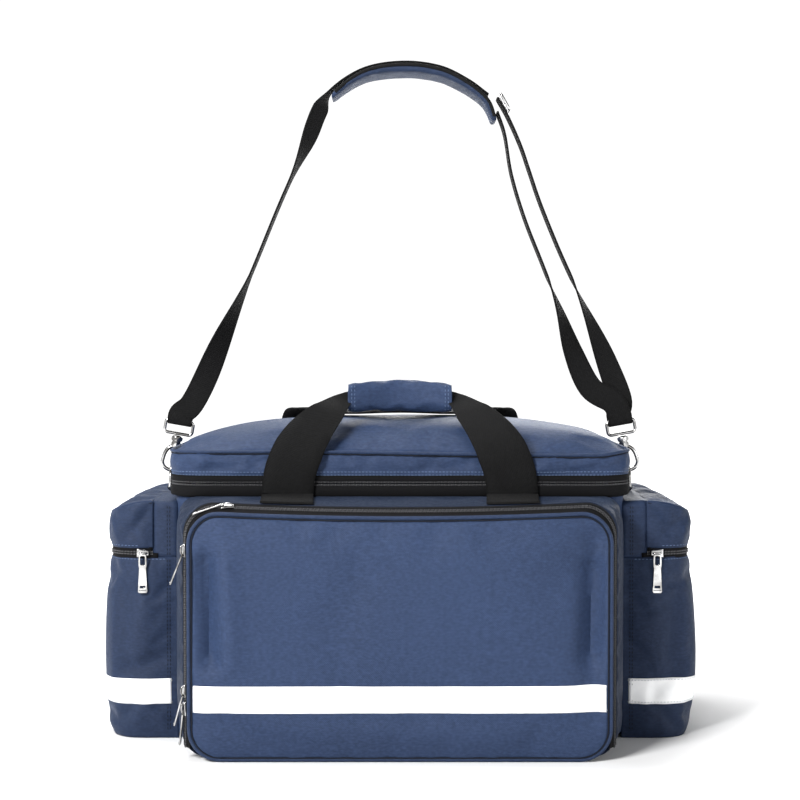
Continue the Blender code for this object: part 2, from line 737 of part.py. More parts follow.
# ---- shoulder strap -----------------------------------------------------------------------
def hook_point(side, u, w, v=0.0):
    """Point in a hook's own frame: u outward, w up its shank, v toward the back."""
    centre_x = RING_X - 0.003 * sin(HOOK_LEAN)
    centre_z = RING_ARC_Z + 0.003 * cos(HOOK_LEAN)
    x = centre_x + u * cos(HOOK_LEAN) - w * sin(HOOK_LEAN)
    z = centre_z + u * sin(HOOK_LEAN) + w * cos(HOOK_LEAN)
    return Vector((side * x, BODY_Y + v, z))


def make_ring_set(side, name):
    tab = smooth_path([
        (side * 0.2220, BODY_Y, RING_BAR_Z - 0.0035),
        (side * 0.2320, BODY_Y, RING_BAR_Z - 0.0037),
        (side * 0.2385, BODY_Y, RING_BAR_Z - 0.0032),
        (side * 0.2416, BODY_Y, RING_BAR_Z),
        (side * 0.2385, BODY_Y, RING_BAR_Z + 0.0032),
        (side * 0.2320, BODY_Y, RING_BAR_Z + 0.0008),
        (side * 0.2270, BODY_Y, RING_BAR_Z - 0.0008),
    ], 2)
    facings = []
    for i, point in enumerate(tab):
        along = (tab[min(i + 1, len(tab) - 1)] - tab[max(i - 1, 0)]).normalized()
        facings.append(along.cross(Vector((0, 1, 0))))
    ribbon(name + "_ring_tab", tab, facings, [0.025] * len(tab), 0.0012, webbing(name + "_ring_tab"))
    points = [(RING_HALF, 0.0), (RING_HALF, 0.006)]
    points += [(RING_HALF * cos(radians(a)), 0.009 + 0.013 * sin(radians(a))) for a in range(15, 166, 25)]
    points += [(-RING_HALF, 0.006), (-RING_HALF, 0.0)]
    path = [Vector((side * RING_X, BODY_Y + a, RING_BAR_Z + b)) for a, b in points]
    ring = wire(name + "_d_ring", path, RING_WIRE, plated(name + "_d_ring"), cyclic=True)
    set_origin(ring, (side * RING_X, BODY_Y, RING_BAR_Z))


def join_solids(target, other):
    """Boolean union applied to target. The other object is removed."""
    mod = target.modifiers.new("Union", "BOOLEAN")
    mod.operation = "UNION"
    mod.object = other
    depsgraph = bpy.context.evaluated_depsgraph_get()
    mesh = bpy.data.meshes.new_from_object(target.evaluated_get(depsgraph))
    target.modifiers.clear()
    target.data = mesh
    bpy.data.objects.remove(other)


def make_hook(side, name):
    route = [(-HOOK_RADIUS, 0.0)]
    route += [(HOOK_RADIUS * cos(radians(a)), HOOK_RADIUS * sin(radians(a))) for a in range(202, 360, 22)]
    route += [(HOOK_RADIUS, 0.001), (HOOK_RADIUS, 0.008), (0.0062, 0.0125)]
    route += [(0.0035, 0.0160), (0.0008, 0.0185)]
    path = [hook_point(side, u, w) for u, w in route]
    shank = wire(name + "_hook_body", path, HOOK_WIRE, plated(name + "_hook"))
    bm = bmesh.new()
    bmesh.ops.create_cone(bm, cap_ends=True, segments=14, radius1=0.0052, radius2=0.0060, depth=0.0120)
    lean = Matrix.Rotation(-side * HOOK_LEAN, 4, "Y")
    bmesh.ops.transform(bm, matrix=lean, verts=bm.verts[:])
    bmesh.ops.translate(bm, vec=hook_point(side, 0.0, BARREL_W), verts=bm.verts[:])
    barrel = add_object(name + "_barrel", bm, plated(name + "_barrel"))
    join_solids(shank, barrel)
    set_origin(shank, hook_point(side, 0.0, BARREL_W))
    gate_route = ((-0.0072, 0.0026), (-0.0070, 0.0090), (-0.0064, GATE_TOP_W))
    gate_path = [hook_point(side, u, w) for u, w in gate_route]
    gate = wire(name + "_hook_gate", gate_path, 0.0014, plated(name + "_gate"))
    set_origin(gate, hook_point(side, -0.0064, GATE_TOP_W))
    half = EYE_W / 2
    eye_route = [(-half + 0.003, EYE_LOW), (half - 0.003, EYE_LOW), (half, EYE_LOW + 0.003),
                 (half, EYE_HIGH - 0.003), (half - 0.003, EYE_HIGH), (-half + 0.003, EYE_HIGH),
                 (-half, EYE_HIGH - 0.003), (-half, EYE_LOW + 0.003)]
    eye_path = [hook_point(side, u, w) for u, w in eye_route]
    wire(name + "_hook_eye", eye_path, EYE_WIRE, plated(name + "_eye"), cyclic=True)


def around_eye(side, front, back):
    """Webbing's turn under the eye's upper bar. front and back are its legs' heights."""
    low = EYE_HIGH - EYE_WIRE - 0.0022
    turn = [(front, -0.0042), (EYE_HIGH, -0.0040), (low + 0.0009, -0.0026), (low - 0.0004, 0.0),
            (low + 0.0009, 0.0026), (EYE_HIGH, 0.0040), (back, 0.0042)]
    return [hook_point(side, 0.0, w, v) for w, v in turn]


def make_strap():
    y = BODY_Y
    left_route = list(reversed(around_eye(-1, 0.0520, 0.0560)))
    left_route += [(-0.2180, y - 0.002, 0.3250), (-0.2045, y, 0.3505), (-0.1840, y, 0.3980),
                   (-0.1560, y, 0.4600), (-0.1250, y, 0.5346), (-0.0980, y, 0.5950), (-0.0842, y, 0.6300),
                   (-0.0700, y, 0.6530), (-0.0370, y, 0.6735), (0.0030, y, 0.6800), (0.0410, y, 0.6755),
                   (0.0700, y, 0.6620), (0.0915, y, 0.6465)]
    path = smooth_path(left_route, 3)
    flat = Vector((0, -1, 0))
    facings = []
    for i, point in enumerate(path):
        along = (path[min(i + 1, len(path) - 1)] - path[max(i - 1, 0)]).normalized()
        rolled = along.cross(Vector((0, 1, 0))) * -1
        if point.z < 0.3080:
            facings.append(along.cross(Vector((cos(HOOK_LEAN), 0, -sin(HOOK_LEAN)))) * -1)
        else:
            share = min(max((point.z - 0.3250) / 0.130, 0.0), 1.0)
            facings.append(flat * (1 - share) + rolled * share)
    ribbon("strap_webbing_left", path, facings, [STRAP_W] * len(path), STRAP_T, webbing("strap_left"))


def make_strap_loop():
    y = BODY_Y
    inner = [(0.1010, y, 0.6290), (0.1090, y, 0.6050), (0.1160, y, 0.5640), (0.1300, y, 0.5180),
             (0.1490, y, 0.4700), (0.1668, y, 0.4238), (0.1810, y - 0.001, 0.3800),
             (0.1985, y - 0.003, 0.3430)]
    turn = [hook_point(1, -0.0050, 0.0660, -0.0040)]
    turn += around_eye(1, 0.0520, 0.0520)
    turn += [hook_point(1, 0.0045, 0.0660, 0.0045)]
    outer = [(0.2190, y + 0.003, 0.3630), (0.2020, y + 0.001, 0.4050), (0.1820, y, 0.4500),
             (0.1640, y, 0.4900), (0.1459, y, 0.5346), (0.1344, y, 0.5680), (0.1250, y, 0.5950),
             (0.1120, y, 0.6240), (0.1010, y, 0.6435)]
    path = smooth_path(inner + turn + outer, 3)
    facings = []
    flat = Vector((0, -1, 0))
    for i, point in enumerate(path):
        along = (path[min(i + 1, len(path) - 1)] - path[max(i - 1, 0)]).normalized()
        rolled = along.cross(Vector((0, 1, 0)))
        if point.z < 0.3140:
            facings.append(along.cross(Vector((cos(HOOK_LEAN), 0, sin(HOOK_LEAN)))))
            continue
        share = min(max((point.z - 0.3300) / 0.130, 0.0), 1.0)
        front = flat if i < len(path) / 2 else -flat
        facings.append(front * (1 - share) + rolled * share)
    ribbon("strap_webbing_right", path, facings, [STRAP_W] * len(path), STRAP_T, webbing("strap_right"))


def make_shoulder_pad():
    strap_line = [(-0.0760, 0.6330), (-0.0650, 0.6520), (-0.0350, 0.6722), (0.0030, 0.6784),
                  (0.0390, 0.6742), (0.0660, 0.6618), (0.0880, 0.6440), (0.0965, 0.6230)]
    path = smooth_path([(x, BODY_Y, z - PAD_DROP) for x, z in strap_line], 3)
    rings = []
    for i, point in enumerate(path):
        along = (path[min(i + 1, len(path) - 1)] - path[max(i - 1, 0)]).normalized()
        out = Vector((-along.z, 0, along.x))
        share = abs(i / (len(path) - 1) * 2 - 1)
        width = PAD_W * (1 - 0.30 * share ** 4)
        outline = rounded_rect(-width / 2, width / 2, -PAD_T / 2, PAD_T / 2, 0.0035, 2)
        rings.append([point + Vector((0, a, 0)) + out * b for a, b in outline])
    loft("shoulder_pad", rings, fabric("shoulder_pad"))


def make_tri_glide():
    """Flat ladder-shaped adjuster lying on the strap at the pad's end."""
    middle = Vector((0.1074, BODY_Y, 0.6376))
    along = Vector((0.491, 0, -0.871))
    out = Vector((0.871, 0, 0.491))
    half_l = GLIDE_LENGTH / 2
    half_w = GLIDE_WIDTH / 2
    outer = rounded_rect(-half_l, half_l, -half_w, half_w, 0.003, 2)
    rings = [[middle + along * a + Vector((0, b, 0)) + out * c for a, b in outer] for c in (0.0, GLIDE_THICK)]
    plate = loft("tri_glide", rings, plated("tri_glide"))
    for shift in (-0.0052, 0.0052):
        slot = rounded_rect(shift - 0.0027, shift + 0.0027, 0.004 - half_w, half_w - 0.004, 0.001, 2)
        through = (-0.002, GLIDE_THICK + 0.002)
        cut = [[middle + along * a + Vector((0, b, 0)) + out * c for a, b in slot] for c in through]
        cutter = loft("tri_glide_slot", cut, plate.data.materials[0])
        mod = plate.modifiers.new("Slot", "BOOLEAN")
        mod.operation = "DIFFERENCE"
        mod.object = cutter
        depsgraph = bpy.context.evaluated_depsgraph_get()
        mesh = bpy.data.meshes.new_from_object(plate.evaluated_get(depsgraph))
        plate.modifiers.clear()
        plate.data = mesh
        bpy.data.objects.remove(cutter)


# ---- assembly -----------------------------------------------------------------------------
def main():
    clear_scene()
    make_collection(COLLECTION)
    make_main_body()
    make_inside()
    make_body_zip()
    make_rear_binding()
    make_lid()
    make_gusset()
    make_front_zip()
    make_front_panel()
    make_front_trim()
    for side, name in ((-1, "left"), (1, "right")):
        make_side_lower(side, name)
        make_side_shoulder(side, name)
        make_side_zip(side, name)
        make_side_cap(side, name)
        make_side_band(side, name)
        make_ring_set(side, name)
        make_hook(side, name)
    make_front_handle()
    make_grip()
    make_rear_handle()
    make_zip_hardware()
    make_strap()
    make_strap_loop()
    make_shoulder_pad()
    make_tri_glide()


main()
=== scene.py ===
from math import cos, pi, radians, sin, sqrt

import bmesh
import bpy
import numpy as np
from mathutils import Matrix, Vector, noise
from mathutils.bvhtree import BVHTree


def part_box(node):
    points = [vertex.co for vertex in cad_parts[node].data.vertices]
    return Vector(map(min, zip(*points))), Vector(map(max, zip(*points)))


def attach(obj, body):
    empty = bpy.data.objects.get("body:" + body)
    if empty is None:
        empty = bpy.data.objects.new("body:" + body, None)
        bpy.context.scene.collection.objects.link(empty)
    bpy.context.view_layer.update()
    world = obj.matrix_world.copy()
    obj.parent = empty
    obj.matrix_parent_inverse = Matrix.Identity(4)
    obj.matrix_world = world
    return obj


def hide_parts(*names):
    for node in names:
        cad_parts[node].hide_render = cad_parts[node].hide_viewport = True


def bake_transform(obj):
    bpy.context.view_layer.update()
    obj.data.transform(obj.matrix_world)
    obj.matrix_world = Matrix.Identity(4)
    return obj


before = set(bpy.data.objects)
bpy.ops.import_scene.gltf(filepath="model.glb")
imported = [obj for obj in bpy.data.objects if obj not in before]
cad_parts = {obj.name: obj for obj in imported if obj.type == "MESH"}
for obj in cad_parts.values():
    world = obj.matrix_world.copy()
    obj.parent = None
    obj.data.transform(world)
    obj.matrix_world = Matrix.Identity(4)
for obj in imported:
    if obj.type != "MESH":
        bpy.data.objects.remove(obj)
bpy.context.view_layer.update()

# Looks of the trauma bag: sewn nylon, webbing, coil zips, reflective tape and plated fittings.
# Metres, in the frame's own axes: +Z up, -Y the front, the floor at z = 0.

# ---- sizes, from the frame ----------------------------------------------------------------
BODY_LO, BODY_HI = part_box("main_body")
LID_LO, LID_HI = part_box("lid_shell")
PANEL_LO, PANEL_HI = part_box("front_pocket_panel")
FOOT_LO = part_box("front_pocket_foot")[0]
SIDE_LO, SIDE_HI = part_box("right_pocket_body")
CAP_LO, CAP_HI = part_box("right_pocket_cap")
FRONT_BAND_LO, FRONT_BAND_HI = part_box("front_reflective_band")
SIDE_BAND_LO, SIDE_BAND_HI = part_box("right_reflective_band")
BODY_TAPE_LO, BODY_TAPE_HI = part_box("body_zip_tape")
LID_TAPE_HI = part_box("lid_zip_tape")[1]

MID_Y = (BODY_LO.y + BODY_HI.y) / 2
CORNER = 0.035
LID_SEAM = 0.283
PANEL_CORNER = 0.028
GUSSET_TOP = 0.2403
SIDE_CORNER = 0.030
SIDE_LAP = 0.0036
SIDE_EDGE = BODY_HI.x + 0.0006
SIDE_HALF = 0.114
SIDE_FACE = 0.09
OUTER_FACE = 0.012
CAP_HINGE_X = CAP_LO.x
CAP_TOP = CAP_HI.z
CAP_OUTER_TOP = 0.2215
HANDLE_X = 0.109
HANDLE_W = 0.050
STRAP_W = 0.025
WEB_T = 0.0019
ZIP_SPLIT = 0.2528
PANEL_ZIP_Y = PANEL_LO.y + 0.0112
COIL_PITCH = 0.0017
COIL_LEAN = 0.35
STITCH_LIFT = 0.0001
STITCH_BACK = 0.02
FINE_STITCH = (0.0024, 0.0006, 0.0006)
BOLD_STITCH = (0.0024, 0.0008, 0.0008)


# ---- camera and light ---------------------------------------------------------------------
def make_camera():
    data = bpy.data.cameras.new("camera")
    data.lens = 76.77
    data.sensor_width = 36.0
    camera = bpy.data.objects.new("camera", data)
    camera.location = (0.0, -1.748, 0.384)
    camera.rotation_euler = (radians(90 - 1.746), 0.0, 0.0)
    bpy.context.scene.collection.objects.link(camera)
    bpy.context.scene.camera = camera


def area_light(name, place, target, size, power):
    data = bpy.data.lights.new(name, "AREA")
    data.shape = "RECTANGLE"
    data.size = size[0]
    data.size_y = size[1]
    data.energy = power
    light = bpy.data.objects.new(name, data)
    light.location = place
    light.rotation_euler = (Vector(target) - Vector(place)).to_track_quat("-Z", "Y").to_euler()
    bpy.context.scene.collection.objects.link(light)


def studio_world():
    """White at the horizon and under it, grey overhead, so that metal has something dark to mirror."""
    world = bpy.data.worlds.new("studio")
    world.use_nodes = True
    tree = world.node_tree
    coords = tree.nodes.new("ShaderNodeTexCoord")
    split = tree.nodes.new("ShaderNodeSeparateXYZ")
    fade = tree.nodes.new("ShaderNodeMapRange")
    for value, socket in zip((0.0, 0.24, 0.50, 1.08, 0.12), fade.inputs):
        socket.default_value = value
    tree.links.new(coords.outputs["Generated"], split.inputs[0])
    tree.links.new(split.outputs["Z"], fade.inputs["Value"])
    tree.links.new(fade.outputs[0], tree.nodes["Background"].inputs["Strength"])
    tree.nodes["Background"].inputs["Color"].default_value = (1.0, 1.0, 1.0, 1.0)
    return world


def make_stage():
    make_camera()
    scene = bpy.context.scene
    scene.view_settings.view_transform = "Standard"
    scene.world = studio_world()
    area_light("key", (-1.45, -2.1, 1.75), (0, 0, 0.16), (0.8, 0.8), 132)
    area_light("fill", (1.9, -1.6, 0.9), (0, 0, 0.18), (0.8, 0.8), 9)
    area_light("top", (-0.5, 0.5, 2.2), (0, 0, 0.2), (1.2, 1.2), 52)
    area_light("back", (0.6, 2.6, 1.2), (0, 0, 0.2), (1.8, 1.4), 46)
    bm = bmesh.new()
    bmesh.ops.create_grid(bm, x_segments=1, y_segments=1, size=12.0)
    floor = mesh_object("floor", bm, [floor_material()])
    floor.location.z = -0.0002


# ---- material helpers ---------------------------------------------------------------------
class Nodes:
    """Short wiring for one material's node tree."""

    def __init__(self, name):
        self.mat = bpy.data.materials.new(name)
        self.mat.use_nodes = True
        self.tree = self.mat.node_tree
        self.shader = self.tree.nodes["Principled BSDF"]

    def link(self, value, socket):
        if isinstance(value, bpy.types.NodeSocket):
            self.tree.links.new(value, socket)
        else:
            socket.default_value = value

    def math(self, kind, a, b=0.0):
        node = self.tree.nodes.new("ShaderNodeMath")
        node.operation = kind
        for value, socket in zip((a, b), node.inputs):
            self.link(value, socket)
        return node.outputs[0]

    def coords(self, kind="Object"):
        return self.tree.nodes.new("ShaderNodeTexCoord").outputs[kind]

    def stretch(self, x, y, z):
        """Object coordinates scaled along each axis."""
        node = self.tree.nodes.new("ShaderNodeMapping")
        node.inputs["Scale"].default_value = (x, y, z)
        self.link(self.coords(), node.inputs["Vector"])
        return node.outputs[0]

    def split(self, vector):
        node = self.tree.nodes.new("ShaderNodeSeparateXYZ")
        self.link(vector, node.inputs[0])
        return node.outputs

    def noise(self, scale, detail=4.0, vector=None):
        node = self.tree.nodes.new("ShaderNodeTexNoise")
        node.inputs["Scale"].default_value = scale
        node.inputs["Detail"].default_value = detail
        self.link(vector or self.coords(), node.inputs["Vector"])
        return node.outputs["Fac"]

    def mix(self, factor, a, b):
        node = self.tree.nodes.new("ShaderNodeMix")
        node.data_type = "RGBA"
        self.link(factor, node.inputs["Factor"])
        self.link(a, node.inputs["A"])
        self.link(b, node.inputs["B"])
        return node.outputs["Result"]

    def mix_value(self, factor, a, b):
        return self.math("ADD", self.math("MULTIPLY", a, self.math("SUBTRACT", 1.0, factor)),
                         self.math("MULTIPLY", b, factor))

    def ramp(self, value, low, high, out_low, out_high):
        node = self.tree.nodes.new("ShaderNodeMapRange")
        for item, socket in zip((value, low, high, out_low, out_high), node.inputs):
            self.link(item, socket)
        return node.outputs[0]

    def bump(self, height, strength, distance):
        node = self.tree.nodes.new("ShaderNodeBump")
        node.inputs["Strength"].default_value = strength
        node.inputs["Distance"].default_value = distance
        self.link(height, node.inputs["Height"])
        self.tree.links.new(node.outputs[0], self.shader.inputs["Normal"])

    def set(self, **values):
        names = {"colour": "Base Color", "rough": "Roughness", "metal": "Metallic", "sheen": "Sheen Weight",
                 "sheen_tint": "Sheen Tint", "coat": "Coat Weight", "specular": "Specular IOR Level",
                 "sheen_rough": "Sheen Roughness"}
        for key, value in values.items():
            self.link(value, self.shader.inputs[names[key]])


def tone(colour, factor):
    return tuple(min(c * factor, 1.0) for c in colour[:3]) + (1.0,)


def fabric_grid(n, pitch):
    """Plain weave over the surface's two longest object axes. Gives height from -1 to 1."""
    x, y, z = n.split(n.coords())
    nx, ny, nz = n.split(n.coords("Normal"))
    nx = n.math("ABSOLUTE", nx)
    ny = n.math("ABSOLUTE", ny)
    nz = n.math("ABSOLUTE", nz)
    faces_x = n.math("GREATER_THAN", nx, n.math("MAXIMUM", ny, nz))
    faces_z = n.math("GREATER_THAN", nz, n.math("MAXIMUM", nx, ny))
    u = n.mix_value(faces_x, x, y)
    v = n.mix_value(faces_z, z, y)
    warp = n.math("SINE", n.math("MULTIPLY", u, pi / pitch))
    weft = n.math("SINE", n.math("MULTIPLY", v, pi / pitch))
    return n.math("MULTIPLY", warp, weft)


def woven(name, colour, pitch=0.00085):
    """Coated nylon cloth: a plain weave, patchy dye, soft sheen and paler worn edges."""
    n = Nodes(name)
    weave = fabric_grid(n, pitch)
    patches = n.noise(7.0, 5.0)
    slubs = n.noise(240.0, 3.0)
    yarns = n.noise(360.0, 3.0, n.stretch(0.7, 0.7, 1.7))
    worn = n.tree.nodes.new("ShaderNodeNewGeometry").outputs["Pointiness"]
    base = n.mix(n.ramp(patches, 0.3, 0.7, 0.0, 1.0), tone(colour, 0.88), tone(colour, 1.12))
    base = n.mix(n.ramp(weave, -1.0, 1.0, 0.0, 0.35), base, tone(colour, 0.50))
    base = n.mix(n.ramp(yarns, 0.38, 0.72, 0.0, 0.42), base, tone(colour, 1.65))
    base = n.mix(n.ramp(slubs, 0.45, 0.75, 0.0, 0.30), base, tone(colour, 0.55))
    base = n.mix(n.ramp(worn, 0.52, 0.62, 0.0, 0.22), base, tone(colour, 1.7))
    n.set(colour=base, rough=n.ramp(slubs, 0.2, 0.8, 0.48, 0.66), sheen=0.05, sheen_rough=0.45,
          sheen_tint=(0.45, 0.62, 1.0, 1.0), specular=0.13)
    n.bump(n.math("ADD", weave, n.math("MULTIPLY", slubs, 1.2)), 0.5, 0.00018)
    return n.mat


def webbing(name, width):
    """Ribbed nylon webbing over UVs in metres: u across from the middle, v along."""
    n = Nodes(name)
    colour = (0.0068, 0.0068, 0.0070, 1.0)
    half = width / 2
    u, v, _ = n.split(n.coords("UV"))
    ribs = n.math("SINE", n.math("MULTIPLY", v, 2 * pi / 0.0017))
    slant = n.math("ADD", n.math("MULTIPLY", u, 2 * pi / 0.0026), n.math("MULTIPLY", v, 1600.0))
    rows = n.math("SINE", slant)
    height = n.math("MULTIPLY", ribs, rows)
    fuzz = n.noise(420.0, 4.0)
    edge = n.ramp(n.math("ABSOLUTE", u), half - 0.003, half - 0.0012, 0.0, 0.55)
    base = n.mix(n.ramp(height, -1.0, 1.0, 0.0, 0.6), tone(colour, 0.65), tone(colour, 1.45))
    base = n.mix(n.ramp(fuzz, 0.4, 0.8, 0.0, 0.35), base, tone(colour, 2.4))
    base = n.mix(edge, base, tone(colour, 0.55))
    n.set(colour=base, rough=n.ramp(fuzz, 0.2, 0.8, 0.62, 0.86), sheen=0.01, sheen_rough=0.5, specular=0.05)
    n.bump(n.math("ADD", height, fuzz), 0.45, 0.00030)
    return n.mat


def tape_cloth():
    """Zip tape: a finer twill than webbing, over object coordinates."""
    n = Nodes("zip_tape_cloth")
    colour = (0.0052, 0.0052, 0.0058, 1.0)
    weave = fabric_grid(n, 0.00065)
    fuzz = n.noise(500.0, 3.0)
    base = n.mix(n.ramp(weave, -1.0, 1.0, 0.0, 0.7), tone(colour, 0.7), tone(colour, 1.7))
    n.set(colour=base, rough=n.ramp(fuzz, 0.2, 0.8, 0.6, 0.85), sheen=0.01, specular=0.05)
    n.bump(n.math("ADD", weave, fuzz), 0.35, 0.00015)
    return n.mat


def coil_nylon():
    n = Nodes("coil_nylon")
    scuffs = n.noise(900.0, 3.0)
    n.set(colour=n.mix(scuffs, (0.020, 0.020, 0.022, 1.0), (0.060, 0.060, 0.064, 1.0)),
          rough=n.ramp(scuffs, 0.3, 0.7, 0.30, 0.48), specular=0.3)
    return n.mat


def plated():
    """Bright nickel with faint brushing and fingerprints, darker in patches where its colour is painted as
    dark reflections.
    """
    n = Nodes("nickel_plate")
    smudge_and_dark_reflection = n.noise(60.0, 5.0)
    fine = n.noise(1500.0, 2.0)
    # Patches of much darker plating: painted dark reflections; the same noise gives fingerprints in the
    # roughness.
    base = n.mix(n.ramp(smudge_and_dark_reflection, 0.35, 0.65, 0.0, 1.0), (0.17, 0.165, 0.16, 1.0), (0.62, 0.62, 0.62, 1.0))
    n.set(colour=base, metal=1.0, rough=n.ramp(smudge_and_dark_reflection, 0.3, 0.7, 0.10, 0.24))
    n.bump(fine, 0.08, 0.00005)
    return n.mat


def glass_bead():
    """Silver-white reflective tape: a fine honeycomb of beads with faint creases."""
    n = Nodes("reflective_bead")
    cells = n.tree.nodes.new("ShaderNodeTexVoronoi")
    cells.inputs["Scale"].default_value = 900.0
    n.link(n.coords(), cells.inputs["Vector"])
    scuff = n.noise(38.0, 5.0)
    base = n.mix(n.ramp(scuff, 0.45, 0.75, 0.0, 1.0), (0.93, 0.935, 0.94, 1.0), (0.80, 0.81, 0.82, 1.0))
    n.set(colour=base, rough=n.ramp(scuff, 0.3, 0.7, 0.30, 0.46), coat=0.25, specular=0.6)
    n.bump(cells.outputs["Distance"], 0.25, 0.00012)
    return n.mat


def thread(name, colour):
    n = Nodes(name)
    twist = n.noise(1600.0, 2.0)
    n.set(colour=n.mix(twist, tone(colour, 0.75), tone(colour, 1.3)), rough=0.7, specular=0.06)
    n.bump(twist, 0.3, 0.0001)
    return n.mat


def lining():
    """Coated lining: a grey ripstop grid with a dull face."""
    n = Nodes("lining_cloth")
    weave = fabric_grid(n, 0.0021)
    grain = n.noise(120.0, 5.0)
    base = n.mix(n.ramp(weave, 0.6, 1.0, 0.0, 0.5), (0.082, 0.090, 0.105, 1.0), (0.135, 0.145, 0.165, 1.0))
    base = n.mix(n.ramp(grain, 0.4, 0.8, 0.0, 0.4), base, (0.060, 0.066, 0.078, 1.0))
    n.set(colour=base, rough=n.ramp(grain, 0.2, 0.8, 0.5, 0.72))
    n.bump(n.math("ADD", weave, grain), 0.25, 0.0002)
    return n.mat


def board():
    n = Nodes("stiff_board")
    grain = n.noise(300.0, 6.0)
    n.set(colour=n.mix(grain, (0.045, 0.047, 0.052, 1.0), (0.10, 0.105, 0.115, 1.0)),
          rough=n.ramp(grain, 0.3, 0.7, 0.5, 0.7))
    n.bump(grain, 0.3, 0.0003)
    return n.mat


def floor_material():
    """White paper sweep, glowing a little away from the bag so that it meets the white surround."""
    n = Nodes("floor_paper")
    grain = n.noise(30.0, 5.0)
    n.set(colour=n.mix(grain, (0.84, 0.84, 0.84, 1.0), (0.88, 0.88, 0.88, 1.0)), rough=0.9, specular=0.1)
    x, y, _ = n.split(n.coords())
    away = n.math("SQRT", n.math("ADD", n.math("MULTIPLY", x, x), n.math("MULTIPLY", y, y)))
    n.link((1.0, 1.0, 1.0, 1.0), n.shader.inputs["Emission Color"])
    n.link(n.ramp(away, 0.40, 1.3, 0.0, 0.9), n.shader.inputs["Emission Strength"])
    n.bump(grain, 0.05, 0.0005)
    return n.mat


# ---- mesh helpers -------------------------------------------------------------------------
def mesh_object(name, bm, mats, smooth=50):
    mesh = bpy.data.meshes.new(name)
    bm.normal_update()
    bm.to_mesh(mesh)
    bm.free()
    mesh.shade_smooth()
    mesh.set_sharp_from_angle(angle=radians(smooth))
    for mat in mats:
        mesh.materials.append(mat)
    item = bpy.data.objects.new(name, mesh)
    bpy.context.scene.collection.objects.link(item)
    return item


def bake(item):
    """Applies the modifiers."""
    depsgraph = bpy.context.evaluated_depsgraph_get()
    mesh = bpy.data.meshes.new_from_object(item.evaluated_get(depsgraph))
    item.modifiers.clear()
    item.data = mesh


def modify(item, kind, **values):
    mod = item.modifiers.new(kind.title(), kind)
    for key, value in values.items():
        setattr(mod, key, value)
    return mod


def points_of(item):
    co = np.zeros(len(item.data.vertices) * 3)
    item.data.vertices.foreach_get("co", co)
    return co.reshape(-1, 3)


def lengths_along(points, closed):
    total = [0.0]
    ring = [Vector(p) for p in points]
    ring += [ring[0]] if closed else []
    for a, b in zip(ring, ring[1:]):
        total.append(total[-1] + (b - a).length)
    return total


def loft(bm, rings):
    """Quads between rings of vertices, and a face on each end."""
    for low, high in zip(rings, rings[1:]):
        for i in range(len(low)):
            j = (i + 1) % len(low)
            bm.faces.new((low[i], low[j], high[j], high[i]))
    bm.faces.new(list(reversed(rings[0])))
    bm.faces.new(rings[-1])


def lofted(name, rings, mat, smooth):
    """One closed piece through rings of points."""
    bm = bmesh.new()
    loft(bm, [[bm.verts.new(p) for p in ring] for ring in rings])
    bmesh.ops.recalc_face_normals(bm, faces=bm.faces[:])
    return mesh_object(name, bm, [mat], smooth)


def sheet(name, rows, mats, closed=False):
    """Quads between rows of points, with UVs in metres: u along a row, v across the rows."""
    bm = bmesh.new()
    layer = bm.loops.layers.uv.new("UVMap")
    grid = [[bm.verts.new(p) for p in row] for row in rows]
    count = len(rows[0])
    along = lengths_along(rows[len(rows) // 2], closed)
    across = lengths_along([row[count // 2] for row in rows], False)
    for r in range(len(rows) - 1):
        for i in range(count if closed else count - 1):
            j = (i + 1) % count
            face = bm.faces.new((grid[r][i], grid[r][j], grid[r + 1][j], grid[r + 1][i]))
            spots = ((i, r), (i + 1, r), (i + 1, r + 1), (i, r + 1))
            for loop, (a, b) in zip(face.loops, spots):
                loop[layer].uv = (along[a], across[b])
    bmesh.ops.remove_doubles(bm, verts=bm.verts[:], dist=0.00002)
    return mesh_object(name, bm, mats)


def face_out(item, outward):
    """Turns an open sheet so that most of its faces look the way outward(centre) points."""
    mesh = item.data
    score = sum(face.normal.dot(outward(face.center)) * face.area for face in mesh.polygons)
    if score < 0:
        mesh.flip_normals()


def thicken(item, thickness, inner_material=0):
    modify(item, "SOLIDIFY", thickness=thickness, offset=-1.0, use_even_offset=True,
           material_offset=inner_material, material_offset_rim=0, thickness_clamp=0.6)
    bake(item)


def subdivide(item):
    modify(item, "SUBSURF", levels=1, render_levels=1, boundary_smooth="PRESERVE_CORNERS")
    bake(item)


